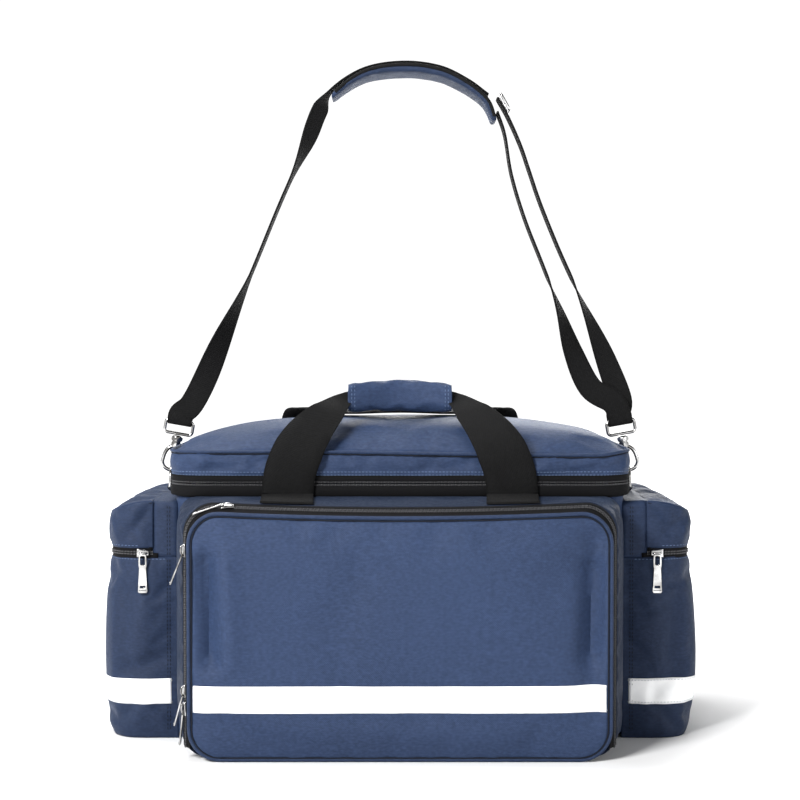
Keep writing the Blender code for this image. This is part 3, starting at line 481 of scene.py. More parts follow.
def soften(item, pinned, pressure=3.0, spare=0.02, cap=0.005, frames=16, stiffness=4.0):
    """Cloth simulation from the sewn shape: pinned(point) is 1 on seams, cap is how far a point may move."""
    rest = points_of(item)
    group = item.vertex_groups.new(name="pinned")
    for i, point in enumerate(rest):
        weight = pinned(Vector(point))
        if weight > 0:
            group.add([i], weight, "REPLACE")
    mod = item.modifiers.new("Cloth", "CLOTH")
    cloth = mod.settings
    cloth.quality = 6
    cloth.mass = 0.12
    cloth.tension_stiffness = 20.0
    cloth.compression_stiffness = 20.0
    cloth.shear_stiffness = 8.0
    cloth.bending_stiffness = stiffness
    cloth.air_damping = 2.0
    cloth.use_pressure = True
    cloth.uniform_pressure_force = pressure
    cloth.shrink_min = -spare
    cloth.vertex_group_mass = "pinned"
    cloth.effector_weights.gravity = 0.0
    mod.point_cache.frame_start = 1
    mod.point_cache.frame_end = frames
    scene = bpy.context.scene
    for frame_number in range(1, frames + 1):
        scene.frame_set(frame_number)
    depsgraph = bpy.context.evaluated_depsgraph_get()
    moved = item.evaluated_get(depsgraph).to_mesh()
    after = np.zeros(len(rest) * 3)
    moved.vertices.foreach_get("co", after)
    shift = after.reshape(-1, 3) - rest
    length = np.linalg.norm(shift, axis=1, keepdims=True)
    soft_length = cap * np.tanh(length / cap)
    shift *= soft_length / np.maximum(length, 1e-9)
    item.modifiers.clear()
    item.vertex_groups.clear()
    item.data.vertices.foreach_set("co", (rest + shift).ravel())
    item.data.update()
    scene.frame_set(1)


def reshape(item, change):
    """Moves every point of a piece."""
    for vertex in item.data.vertices:
        vertex.co = change(vertex.co.copy())
    item.data.update()


def arc(cx, cy, radius, start, end, steps):
    angles = [radians(start + (end - start) * i / steps) for i in range(steps + 1)]
    return [(cx + radius * cos(a), cy + radius * sin(a)) for a in angles]


def rounded(x0, x1, y0, y1, radius, steps=10, low_radius=None):
    """Rounded rectangle, from the low corner at x1. low_radius is for its two low corners."""
    low = low_radius or radius
    points = arc(x1 - low, y0 + low, low, -90, 0, steps)
    points += arc(x1 - radius, y1 - radius, radius, 0, 90, steps)
    points += arc(x0 + radius, y1 - radius, radius, 90, 180, steps)
    points += arc(x0 + low, y0 + low, low, 180, 270, steps)
    return points


def resample(points, count, closed):
    """count points at even spacing along a polyline."""
    points = [Vector(p) for p in points]
    total = lengths_along(points, closed)
    ring = points + ([points[0]] if closed else [])
    spots = [total[-1] * i / (count if closed else count - 1) for i in range(count)]
    out = []
    k = 0
    for spot in spots:
        while k < len(total) - 2 and total[k + 1] < spot:
            k += 1
        share = (spot - total[k]) / max(total[k + 1] - total[k], 1e-9)
        out.append(ring[k].lerp(ring[k + 1], min(share, 1.0)))
    return out


def smooth_path(points, per_span=8):
    """Catmull-Rom curve through a short list of points."""
    points = [Vector(p) for p in points]
    padded = [points[0] * 2 - points[1]] + points + [points[-1] * 2 - points[-2]]
    out = []
    for i in range(1, len(padded) - 2):
        p0, p1, p2, p3 = padded[i - 1:i + 3]
        for k in range(per_span):
            t = k / per_span
            a = 2 * p1
            b = (p2 - p0) * t
            c = (2 * p0 - 5 * p1 + 4 * p2 - p3) * t * t
            d = (3 * p1 - p0 - 3 * p2 + p3) * t * t * t
            out.append((a + b + c + d) / 2)
    out.append(points[-1].copy())
    return out


def directions(path, closed=False):
    count = len(path)
    out = []
    for i in range(count):
        ahead = path[(i + 1) % count] if closed else path[min(i + 1, count - 1)]
        behind = path[i - 1] if closed else path[max(i - 1, 0)]
        out.append((ahead - behind).normalized())
    return out


def tube(name, path, radius, mat, closed=False, sides=10, radii=None):
    """Round cord or wire along a path, with closed ends."""
    along = directions(path, closed)
    side = along[0].orthogonal().normalized()
    rows = []
    for i, (point, way) in enumerate(zip(path, along)):
        side = (side - way * side.dot(way)).normalized()
        other = way.cross(side)
        r = radii[i] if radii else radius
        rows.append([point + (side * cos(a) + other * sin(a)) * r
                     for a in (2 * pi * k / sides for k in range(sides))])
    bm = bmesh.new()
    grid = [[bm.verts.new(p) for p in row] for row in rows]
    last = len(grid) if closed else len(grid) - 1
    start = 0
    if closed:
        start = min(range(sides), key=lambda k: (rows[0][k] - rows[-1][0]).length)
    for r in range(last):
        wrap = closed and r == len(grid) - 1
        high = grid[(r + 1) % len(grid)]
        for i in range(sides):
            j = (i + 1) % sides
            shift = start if wrap else 0
            bm.faces.new((grid[r][i], grid[r][j], high[(j + shift) % sides], high[(i + shift) % sides]))
    if not closed:
        bm.faces.new(list(reversed(grid[0])))
        bm.faces.new(grid[-1])
    bmesh.ops.recalc_face_normals(bm, faces=bm.faces[:])
    return mesh_object(name, bm, [mat], 60)


def ribbon(name, path, facings, widths, thickness, mat):
    """Flat webbing with rounded selvedges. UVs in metres: u across from the middle, v along."""
    travel = lengths_along(path, False)
    bm = bmesh.new()
    layer = bm.loops.layers.uv.new("UVMap")
    under = [(-0.5, -0.25)] + [(a, -0.5) for a in (-0.49, -0.25, 0.0, 0.25, 0.49)] + [(0.5, -0.25)]
    section = under + [(-a, -b) for a, b in under]
    rings = []
    for point, along, facing, width in zip(path, directions(path), facings, widths):
        across = along.cross(facing).normalized()
        face = across.cross(along).normalized()
        rings.append([bm.verts.new(point + across * (a * width) + face * (b * thickness))
                      for a, b in section])
    count = len(section)
    for r in range(len(rings) - 1):
        for i in range(count):
            j = (i + 1) % count
            face = bm.faces.new((rings[r][i], rings[r][j], rings[r + 1][j], rings[r + 1][i]))
            for loop, (k, row) in zip(face.loops, ((i, r), (j, r), (j, r + 1), (i, r + 1))):
                loop[layer].uv = (section[k][0] * widths[r], travel[row])
    bm.faces.new(list(reversed(rings[0])))
    bm.faces.new(rings[-1])
    bmesh.ops.recalc_face_normals(bm, faces=bm.faces[:])
    return mesh_object(name, bm, [mat], 50)


def blend_along(keys, count):
    """Spreads a few key values evenly along count points."""
    out = []
    spans = len(keys) - 1
    for i in range(count):
        t = i / (count - 1) * spans
        k = min(int(t), spans - 1)
        out.append(keys[k] * (1 - (t - k)) + keys[k + 1] * (t - k))
    return out


def beads(name, spots, mat, size):
    """Small rounded grains in one mesh. spots are (centre, along, outward), size is (long, wide, high)."""
    bm = bmesh.new()
    long, wide, high = (s / 2 for s in size)
    profile = ((-1.0, 0.35), (-0.55, 1.0), (0.55, 1.0), (1.0, 0.35))
    for centre, along, outward in spots:
        side = along.cross(outward).normalized()
        rings = []
        for travel, swell in profile:
            ring = []
            for k in range(6):
                a = 2 * pi * k / 6
                offset = side * (cos(a) * wide * swell) + outward * (sin(a) * high * swell)
                ring.append(bm.verts.new(centre + along * (travel * long) + offset))
            rings.append(ring)
        loft(bm, rings)
    bmesh.ops.recalc_face_normals(bm, faces=bm.faces[:])
    return mesh_object(name, bm, [mat], 70)


def surface(item):
    """Search tree over a piece's faces."""
    depsgraph = bpy.context.evaluated_depsgraph_get()
    return BVHTree.FromObject(item, depsgraph)


def land(tree, start, way, lift=0.0, reach=0.06):
    """Where a ray from start along way meets a surface, lifted back toward the start."""
    way = Vector(way).normalized()
    hit, normal, _, _ = tree.ray_cast(Vector(start), way, reach)
    if hit is None:
        return None, None
    if normal.dot(way) > 0:
        normal = -normal
    return hit + normal * lift, normal


def to_middle(p):
    """Way from a point straight in to the bag's upright middle line."""
    return (Vector((0, MID_Y, p.z)) - p).normalized()


def to_pocket(p):
    """Way from a point onto a side pocket, square to the pocket's outline."""
    core_x = SIDE_HI.x - SIDE_CORNER
    half = (SIDE_HI.y - SIDE_LO.y) / 2 - SIDE_CORNER
    x = (core_x if p.x > 0 else -core_x) if abs(p.x) > core_x else p.x
    core = Vector((x, min(max(p.y, MID_Y - half), MID_Y + half), p.z))
    return (core - p).normalized()


def sew(name, path, tree, way, mat, body, pitch=0.0034, size=FINE_STITCH):
    """A sewn row: threads laid on a surface under a path. way is a direction, or gives one at a point."""
    even = resample(path, int(lengths_along(path, False)[-1] / pitch), False)
    spots = []
    for point, along in zip(even, directions(even)):
        look = way(point) if callable(way) else Vector(way)
        hit, normal = land(tree, point - look * STITCH_BACK, look, STITCH_LIFT)
        if hit is not None:
            spots.append((hit, (along - normal * along.dot(normal)).normalized(), normal))
    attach(beads(name, spots, mat, size), body)


def wobble(point, scale, amount, seed=0.0):
    return noise.noise(Vector(point) * scale + Vector((seed, seed * 0.7, -seed))) * amount


# ---- palette ------------------------------------------------------------------------------
NAVY = (0.0205, 0.0345, 0.0760, 1.0)
CLOTH = woven("navy_nylon", NAVY)
# Darker copy of the navy cloth: painted shade for the side pockets, their caps and shoulders and the strap's
# pad, which sit in shadow.
CLOTH_PAINTED_SHADE = woven("navy_nylon_painted_shade", tone(NAVY, 0.66))
# Much darker copy: painted deep shade on the front pocket's gusset, which faces the key light and would
# otherwise show pale.
CLOTH_PAINTED_DEEP_SHADE = woven("navy_nylon_painted_deep_shade", tone(NAVY, 0.36))
CLOTH_EDGE = woven("navy_binding", tone(NAVY, 0.78), pitch=0.0006)
WEB_WIDE = webbing("handle_webbing_cloth", HANDLE_W)
WEB_SLIM = webbing("strap_webbing_cloth", STRAP_W)
TAPE = tape_cloth()
COIL = coil_nylon()
METAL = plated()
BEAD = glass_bead()
LINING = lining()
THREAD = thread("navy_thread", (0.095, 0.135, 0.225, 1.0))
# Near-black thread for real stitches, also used for the thin cords painted as the shade inside seams.
DARK_THREAD_AND_SEAM_SHADOW = thread("dark_thread_and_painted_seam_shadow", (0.010, 0.012, 0.018, 1.0))
WHITE_THREAD = thread("pale_thread", (0.50, 0.52, 0.54, 1.0))
COIL_THREAD_AND_HIGHLIGHT = thread("grey_thread_painted_highlight", (0.105, 0.105, 0.11, 1.0))


# How much deeper than their own heights all drawn folds are, and the base of their bell shape.
FOLD_DEPTH = 1.5
FOLD_BASE = 2.718


def creased(a, b, folds):
    """Height of soft folds at (a, b). Each is a line from (a0, b0) to (a1, b1), its width and its height."""
    total = 0.0
    for a0, b0, a1, b1, width, height in folds:
        long_a, long_b = a1 - a0, b1 - b0
        share = ((a - a0) * long_a + (b - b0) * long_b) / (long_a ** 2 + long_b ** 2)
        share = min(max(share, 0.0), 1.0)
        gap = (a - a0 - share * long_a) ** 2 + (b - b0 - share * long_b) ** 2
        total += height * FOLD_BASE ** (-gap / width ** 2)
    return total * FOLD_DEPTH


def smooth_step(value, low, high):
    t = min(max((value - low) / (high - low), 0.0), 1.0)
    return t * t * (3 - 2 * t)


def dress(item, body, slot, *nodes):
    """Puts a finished piece on its body and hides the nodes it stands for."""
    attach(item, body)
    if nodes:
        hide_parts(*nodes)


def dress_fold(item, joined, start, end, slot, *nodes):
    """Hides the nodes that a piece of cloth over the joint between two bodies stands for, and bakes its
    transform into its points; joined, start, end and slot are not used.
    """
    if nodes:
        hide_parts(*nodes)
    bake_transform(item)


def wire(name, path, radius, body, *nodes, **shape):
    """Plated wire on a body."""
    dress(tube(name, path, radius, METAL, **shape), body, "plated_metal", *nodes)


def seam_line(name, path, radius, mat, body, *nodes, **shape):
    """Piping on a body, or a dark cord painted as the shade inside a seam."""
    dress(tube(name, path, radius, mat, **shape), body, "piping_fabric", *nodes)


# ---- body ---------------------------------------------------------------------------------
def plan_ring(lo, hi, inset, radius, z, count):
    outline = rounded(lo.x + inset, hi.x - inset, lo.y + inset, hi.y - inset, radius)
    return resample([(x, y, z) for x, y in outline], count, True)


def outward_from(x):
    """Gives the level direction of a point away from an upright line in the middle of the bag's depth."""
    return lambda c: Vector((c.x - x, c.y - MID_Y, 0))


def make_body():
    rows = []
    steps = 36
    for i in range(steps + 1):
        z = BODY_HI.z * i / steps
        inset = 0.004 * max(0.0, 1 - z / 0.007) ** 2
        ring = plan_ring(BODY_LO, BODY_HI, inset, CORNER, z, 230)
        swell = sin(pi * min(max(z / BODY_HI.z, 0.0), 1.0)) ** 0.7
        for p in ring:
            if p.y > MID_Y:
                across = max(0.0, 1 - abs(p.x / BODY_HI.x) ** 4)
                p.y += 0.0035 * swell * across * (p.y - MID_Y) / (BODY_HI.y - MID_Y)
        rows.append(ring)
    item = sheet("bag_body", rows, [CLOTH, LINING], closed=True)
    face_out(item, outward_from(0.0))
    rear = BODY_HI.y - 0.012

    def pinned(p):
        free = p.y > rear and abs(p.x) < 0.182 and 0.016 < p.z < BODY_HI.z - 0.020
        return 0.0 if free else 1.0

    soften(item, pinned, pressure=2.5, spare=0.022, cap=0.0040, frames=14)
    tree = surface(item)
    for number, z in enumerate((0.0135, 0.0165)):
        path = [(x, BODY_HI.y, z) for x in (-0.176, 0.176)]
        sew(f"rear_hem_stitch_{number}", path, tree, (0, -1, 0), THREAD, "bag")
    thicken(item, 0.0045, 1)
    dress(item, "bag", "body_fabric", "main_body")
    tuck = 0.006
    base = rounded(BODY_LO.x + tuck, BODY_HI.x - tuck, BODY_LO.y + tuck, BODY_HI.y - tuck, CORNER - tuck)
    bm = bmesh.new()
    bm.faces.new([bm.verts.new((x, y, 0.0008)) for x, y in base])
    floor = mesh_object("bag_base", bm, [CLOTH_EDGE, LINING])
    face_out(floor, lambda c: Vector((0, 0, -1)))
    thicken(floor, 0.004, 1)
    dress(floor, "bag", "body_fabric")
    return tree


def u_route(width, front, rear, radius, z, wrap=0.0):
    """Plan route from the left rear round the front to the right rear, turned in at the back by wrap."""
    half = width / 2
    start = arc(-half + radius, rear - radius, radius, 90, 180, 8) if wrap else [(-half, rear)]
    points = ([(-half + wrap, rear)] if wrap else []) + start
    points += arc(-half + radius, front + radius, radius, 180, 270, 10)
    points += arc(half - radius, front + radius, radius, 270, 360, 10)
    points += arc(half - radius, rear - radius, radius, 0, 90, 8) if wrap else [(half, rear)]
    points += [(half - wrap, rear)] if wrap else []
    return [Vector((x, y, z)) for x, y in points]


def coil_row(name, path, outwards, body, size=(0.0024, 0.0010, 0.0011)):
    """Half of a coil zip: one grain for each turn, leaning across the row, and the thread that holds it, grey
    so that it also stands as a painted highlight along the coil.
    """
    count = int(lengths_along(path, False)[-1] / COIL_PITCH)
    even = resample(path, count, False)
    facing = resample(outwards, count, False)
    spots = []
    for point, along, out in zip(even, directions(even), facing):
        out = out.normalized()
        across = along.cross(out).normalized()
        spots.append((point, (across + along * COIL_LEAN).normalized(), out))
    dress(beads(name, spots, COIL, size), body, "zip_tape")
    # The coil's sewing thread, coloured grey and laid on the grains' crowns: partly real thread, partly
    # painted highlight.
    sewing_and_highlight = []
    for point, lean, out in spots[::2]:
        sewing_and_highlight.append((point + out * (size[2] * 0.52), lean.cross(out).normalized(), out))
    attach(beads(name + "_sewing", sewing_and_highlight, COIL_THREAD_AND_HIGHLIGHT, (0.0017, 0.0007, 0.0005)), body)


def make_body_zip():
    width = BODY_TAPE_HI.x - BODY_TAPE_LO.x
    front = BODY_TAPE_LO.y
    rear = BODY_HI.y - 0.0005
    wrap = 0.040
    bands = (("body_zip_band", "bag", BODY_TAPE_LO.z - 0.0002, ZIP_SPLIT - 0.0004, "body_zip_tape"),
             ("lid_zip_band", "lid", ZIP_SPLIT + 0.0004, LID_TAPE_HI.z + 0.0003, "lid_zip_tape"))
    for name, body, low, high, node in bands:
        rows = []
        for i in range(7):
            share = i / 6
            z = low + (high - low) * share
            near_coil = 1 - share if body == "lid" else share
            inset = 0.0002 + 0.0011 * near_coil ** 2
            fold = (0.0011 if body == "bag" else 0.0004) * sin(pi * share)
            offset = inset - fold
            route = u_route(width - 2 * offset, front + offset, rear, CORNER, z, wrap)
            ring = resample(route, 260, False)
            for p in ring:
                p.z += wobble(p, 18, 0.0006, 5.0)
            rows.append(ring)
        if body == "bag":
            z = BODY_HI.z - 0.0014
            sewn = u_route(2 * BODY_HI.x + 0.0010, BODY_LO.y - 0.0005, rear, CORNER, z, wrap)
            rows.insert(0, resample(sewn, 260, False))
        else:
            rows.append([p + Vector((0, 0, 0.0022)) for p in rows[-1]])
        item = sheet(name, rows, [TAPE])
        face_out(item, outward_from(0.0))
        thicken(item, 0.0010)
        dress(item, body, "zip_tape", node)
    inset = 0.0008
    for name, body, lift in (("body_zip_coil", "bag", -0.0014), ("lid_zip_coil", "lid", 0.0014)):
        route = u_route(width - 2 * inset, front + inset, rear, CORNER, ZIP_SPLIT + lift, wrap)
        for p in route:
            p.z += wobble(p, 18, 0.0006, 5.0)
        route = resample(route, 520, False)
        coil_row(name, route, [Vector((way.y, -way.x, 0)) for way in directions(route)], body)


# ---- lid ----------------------------------------------------------------------------------
def edge_distance(x, y, half_w, half_d, radius):
    """Signed distance to a rounded rectangle, negative inside."""
    qx = abs(x) - (half_w - radius)
    qy = abs(y) - (half_d - radius)
    outside = sqrt(max(qx, 0.0) ** 2 + max(qy, 0.0) ** 2)
    return outside + min(max(qx, qy), 0.0) - radius


def rounded_grid(half_w, half_h, radius, step):
    """Even grid of points (a, b) filling a rounded rectangle about the origin, corners included."""
    nx = int(2 * half_w / step)
    ny = int(2 * half_h / step)
    rows = []
    for j in range(ny + 1):
        row = []
        for i in range(nx + 1):
            a = half_w * (2 * i / nx - 1)
            b = half_h * (2 * j / ny - 1)
            u = (abs(a) - (half_w - radius)) / radius
            v = (abs(b) - (half_h - radius)) / radius
            if u > 0 and v > 0:
                u2 = u * sqrt(1 - v * v / 2)
                v2 = v * sqrt(1 - u * u / 2)
                a = (1 if a > 0 else -1) * (half_w - radius + u2 * radius)
                b = (1 if b > 0 else -1) * (half_h - radius + v2 * radius)
            row.append((a, b))
        rows.append(row)
    return rows


LID_FOLDS = (
    (-0.218, 0.281, -0.150, 0.270, 0.0055, 0.0022), (-0.205, 0.263, -0.110, 0.277, 0.0050, -0.0020),
    (-0.170, 0.262, -0.130, 0.266, 0.0050, 0.0014), (0.020, 0.264, 0.080, 0.276, 0.0060, -0.0013),
    (0.120, 0.264, 0.190, 0.279, 0.0055, 0.0020), (0.165, 0.263, 0.218, 0.272, 0.0050, -0.0022),
    (0.205, 0.281, 0.150, 0.272, 0.0050, -0.0014),
)


def lid_sag(x, y):
    """The lid's seam hangs a little lower toward the right front."""
    front = smooth_step(MID_Y - y, 0.0, LID_HI.y - MID_Y)
    return -0.0035 * smooth_step(x, -0.12, 0.16) * front * (1 - smooth_step(x, 0.19, 0.226))


def lid_ring(inset, lift):
    """Outline of the lid beside its seam."""
    ring = plan_ring(LID_LO, LID_HI, inset, CORNER, LID_SEAM + lift, 260)
    for p in ring:
        p.z += lid_sag(p.x, p.y)
    return ring


def make_lid():
    """Domed crown, upright wall, piping and the sewn rows of the lid."""
    half_w = (LID_HI.x - LID_LO.x) / 2 - 0.002
    half_d = (LID_HI.y - LID_LO.y) / 2 - 0.002
    rise = LID_HI.z - 0.0012 - LID_SEAM
    rows = []
    for line in rounded_grid(half_w, half_d, CORNER, 0.0058):
        row = []
        for a, b in line:
            depth = -edge_distance(a, b, half_w, half_d, CORNER)
            crown = (max(0.0, 1 - abs(a / half_w) ** 3) * max(0.0, 1 - abs(b / half_d) ** 3)) ** 0.714
            crown *= min(1.0, max(depth, 0.0) / 0.010) ** 0.5
            z = LID_SEAM + rise * crown + wobble((a, b, 0), 14, 0.0014, 1.7) * min(1.0, depth / 0.02)
            row.append(Vector((a, MID_Y + b, z)))
        rows.append(row)
    crown_sheet = sheet("lid_crown", rows, [CLOTH, LINING])
    face_out(crown_sheet, lambda c: Vector((0, 0, 1)))

    def rim(p):
        return 1.0 if edge_distance(p.x, p.y - MID_Y, half_w, half_d, CORNER) > -0.004 else 0.0

    soften(crown_sheet, rim, pressure=0.2, spare=0.014, cap=0.0018, frames=14)

    def sagged_crown(p):
        depth = -edge_distance(p.x, p.y - MID_Y, half_w, half_d, CORNER)
        p.z += lid_sag(p.x, p.y) * (1 - smooth_step(depth, 0.0, 0.06))
        return p

    reshape(crown_sheet, sagged_crown)
    thicken(crown_sheet, 0.0035, 1)
    dress(crown_sheet, "lid", "body_fabric", "lid_shell")

    low = LID_LO.z - 0.0002
    wall_rows = []
    for i in range(8):
        share = i / 7
        z = low + (LID_SEAM - low) * share
        swell = 0.0014 * sin(pi * share)
        ring = plan_ring(LID_LO, LID_HI, 0.0012 - swell, CORNER, z, 300)
        for p in ring:
            if p.y < LID_LO.y + 0.012:
                p.y -= creased(p.x, z, LID_FOLDS) * sin(pi * share)
            p.y += wobble((p.x, p.y, z), 24, 0.0018, 8.0) * sin(pi * share)
        wall_rows.append(ring)
    wall = sheet("lid_wall", wall_rows, [CLOTH, LINING], closed=True)
    face_out(wall, outward_from(0.0))
    soften(wall, lambda p: 1.0 if p.z < low + 0.009 or p.z > LID_SEAM - 0.0015 else 0.0,
           pressure=1.5, spare=0.03, cap=0.0025, frames=12, stiffness=1.5)

    def sagged_wall(p):
        p.z += lid_sag(p.x, p.y) * (p.z - low) / (LID_SEAM - low)
        return p

    reshape(wall, sagged_wall)
    tree = surface(wall)
    for number, z in enumerate((low + 0.0028, low + 0.0058)):
        route = u_route(LID_HI.x - LID_LO.x, LID_LO.y, LID_HI.y, CORNER, z, wrap=0.20)
        sew(f"lid_stitch_{number}", route, tree, to_middle, THREAD, "lid", size=BOLD_STITCH)
    thicken(wall, 0.0030, 1)
    dress(wall, "lid", "body_fabric")
    ring = lid_ring(0.0004, 0.0006)
    seam_line("lid_seam_piping", ring, 0.0016, CLOTH_EDGE, "lid", "lid_piping", closed=True)
    # A near-black cord just under the piping, painted as the shade in the seam's groove.
    ring = lid_ring(0.0006, -0.0016)
    seam_line("lid_seam_painted_shadow", ring, 0.0008, DARK_THREAD_AND_SEAM_SHADOW, "lid", closed=True, sides=6)


def make_lid_hinge():
    lo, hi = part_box("rear_hinge_binding")
    rows = []
    for i in range(13):
        z = lo.z + 0.004 + (LID_LO.z - lo.z) * i / 12
        y = hi.y - 0.0005 + 0.0011 * sin(pi * i / 12)
        rows.append([Vector((lo.x + (hi.x - lo.x) * k / 60, y, z)) for k in range(61)])
    item = sheet("rear_hinge_strip", rows, [CLOTH_EDGE, CLOTH_EDGE])
    face_out(item, lambda c: Vector((0, 1, 0)))
    thicken(item, 0.0012)
    dress_fold(item, ("bag", "lid"), (0, y, 0.2465), (0, y, 0.2535), "body_fabric", "rear_hinge_binding")


# ---- front pocket -------------------------------------------------------------------------
PANEL_FOLDS = (
    (-0.181, 0.186, -0.176, 0.096, 0.0095, -0.0082), (-0.160, 0.190, -0.156, 0.096, 0.0110, 0.0024),
    (0.190, 0.190, 0.188, 0.060, 0.0330, -0.0036), (0.180, 0.178, 0.178, 0.100, 0.0120, -0.0058),
    (0.185, 0.215, 0.140, 0.160, 0.0180, -0.0022),
    (-0.186, 0.216, -0.150, 0.182, 0.0075, -0.0013), (0.184, 0.205, 0.176, 0.075, 0.0110, -0.0020),
    (0.155, 0.212, 0.186, 0.190, 0.0080, 0.0011), (-0.120, 0.032, 0.110, 0.024, 0.0110, 0.0012),
    (-0.165, 0.040, -0.120, 0.018, 0.0090, -0.0010), (0.030, 0.222, 0.110, 0.214, 0.0090, -0.0010),
)


def pocket_sag(p, share=1.0):
    """The pocket's top edge hangs a little between its corners."""
    p.z -= 0.0045 * share * max(0.0, 1 - (p.x / 0.176) ** 2) * smooth_step(p.z, 0.12, 0.225)
    return p


def body_front(x):
    """Where the body's front lies at x, its round corners included."""
    past = abs(x) - (BODY_HI.x - CORNER)
    if past <= 0:
        return BODY_LO.y
    return BODY_LO.y + CORNER - sqrt(max(CORNER ** 2 - past ** 2, 0.0))


def make_gusset():
    front_y = PANEL_LO.y + 0.0183
    rows = []
    steps = 12
    for i in range(steps + 1):
        share = i / steps
        half = 0.2028 + (0.2148 - 0.2028) * share
        outline = rounded(-half, half, 0.0010, GUSSET_TOP, 0.030 - 0.012 * share, 8, 0.022)
        ring = resample([(x, 0.0, z) for x, z in outline], 260, True)
        for p in ring:
            rear_y = body_front(max(abs(p.x) - 0.0035, 0.0)) - 0.0014
            p.y = front_y + (rear_y - front_y) * share
            pocket_sag(p, (1 - share) ** 1.5)
            if p.z > GUSSET_TOP - 0.008:
                p.z += (0.0002 + wobble((p.x, p.y * 0.5, 0), 34, 0.0036, 14.0)) * sin(pi * share)
            elif p.z > 0.02:
                p.x += (1 if p.x > 0 else -1) * 0.0014 * sin(pi * share)
        rows.append(ring)
    item = sheet("pocket_gusset", rows, [CLOTH_PAINTED_DEEP_SHADE, LINING], closed=True)
    face_out(item, lambda c: Vector((c.x, 0, c.z - 0.11)))

    def held(p):
        near_front = p.y < front_y + 0.004
        near_rear = p.y > body_front(max(abs(p.x) - 0.0035, 0.0)) - 0.0065
        flat = p.z < 0.006 or p.z > GUSSET_TOP - 0.008
        return 1.0 if near_front or near_rear or flat else 0.0

    soften(item, held, pressure=1.2, spare=0.03, cap=0.0028, frames=12, stiffness=2.0)
    tree = surface(item)
    thicken(item, 0.0022, 1)
    dress(item, "bag", "body_fabric", "front_pocket_gusset")
    return tree


def pocket_arch(half, top, radius, y, foot):
    """Upright route from the bottom left over the top to the bottom right."""
    points = [(-half, foot)]
    points += reversed(arc(-half + radius, top - radius, radius, 90, 180, 12))
    points += reversed(arc(half - radius, top - radius, radius, 0, 90, 12))
    points += [(half, foot)]
    return [Vector((x, y, z)) for x, z in points]


def make_front_zip():
    """Two tapes that slope back from the panel's piping to the gusset, with a coil on each."""
    y0 = PANEL_LO.y + 0.0036
    y1 = PANEL_LO.y + 0.0180
    half0, half1 = 0.1953, 0.2026
    top0, top1 = 0.2318, GUSSET_TOP - 0.0002
    foot = 0.0122

    def at(share, lift=0.0):
        half = half0 + (half1 - half0) * share + lift
        top = top0 + (top1 - top0) * share + lift
        radius = 0.0290 + 0.0015 * share
        y = y0 + (y1 - y0) * share
        return [pocket_sag(p) for p in resample(pocket_arch(half, top, radius, y, foot), 240, False)]

    middle = 0.5
    for name, body, start, end, node in (
        ("flap_zip_band", "front_flap", 0.0, middle - 0.02, "front_pocket_zip_flap_side"),
        ("pocket_zip_band", "bag", middle + 0.02, 1.0, "front_pocket_zip_body_side"),
    ):
        rows = []
        for i in range(6):
            share = start + (end - start) * i / 5
            rows.append(at(share, 0.0007 * sin(pi * share)))
        item = sheet(name, rows, [TAPE])
        face_out(item, lambda c: Vector((c.x, -0.05, c.z - 0.11)))
        thicken(item, 0.0010)
        dress(item, body, "zip_tape", node)
    slope = Vector((0, y1 - y0, top1 - top0)).normalized()
    for name, body, share in (("flap_zip_coil", "front_flap", middle - 0.07),
                              ("pocket_zip_coil", "bag", middle + 0.07)):
        path = at(share, 0.0011)
        outs = []
        for p, way in zip(path, directions(path)):
            radial = Vector((way.z, 0, -way.x)) * -1
            outs.append((radial * slope.y + Vector((0, -1, 0)) * slope.z).normalized())
        coil_row(name, path, outs, body, size=(0.0021, 0.0010, 0.0010))


def panel_ring(grow, foot_lift, corner_grow, depth):
    """Outline beside the panel's edge: how far outside it, and how far behind the panel's face."""
    half_w = (PANEL_HI.x - PANEL_LO.x) / 2 + grow
    outline = rounded(-half_w, half_w, FOOT_LO.z + foot_lift, PANEL_HI.z + grow, PANEL_CORNER + corner_grow)
    return [pocket_sag(p) for p in resample([(x, PANEL_LO.y + depth, z) for x, z in outline], 380, True)]


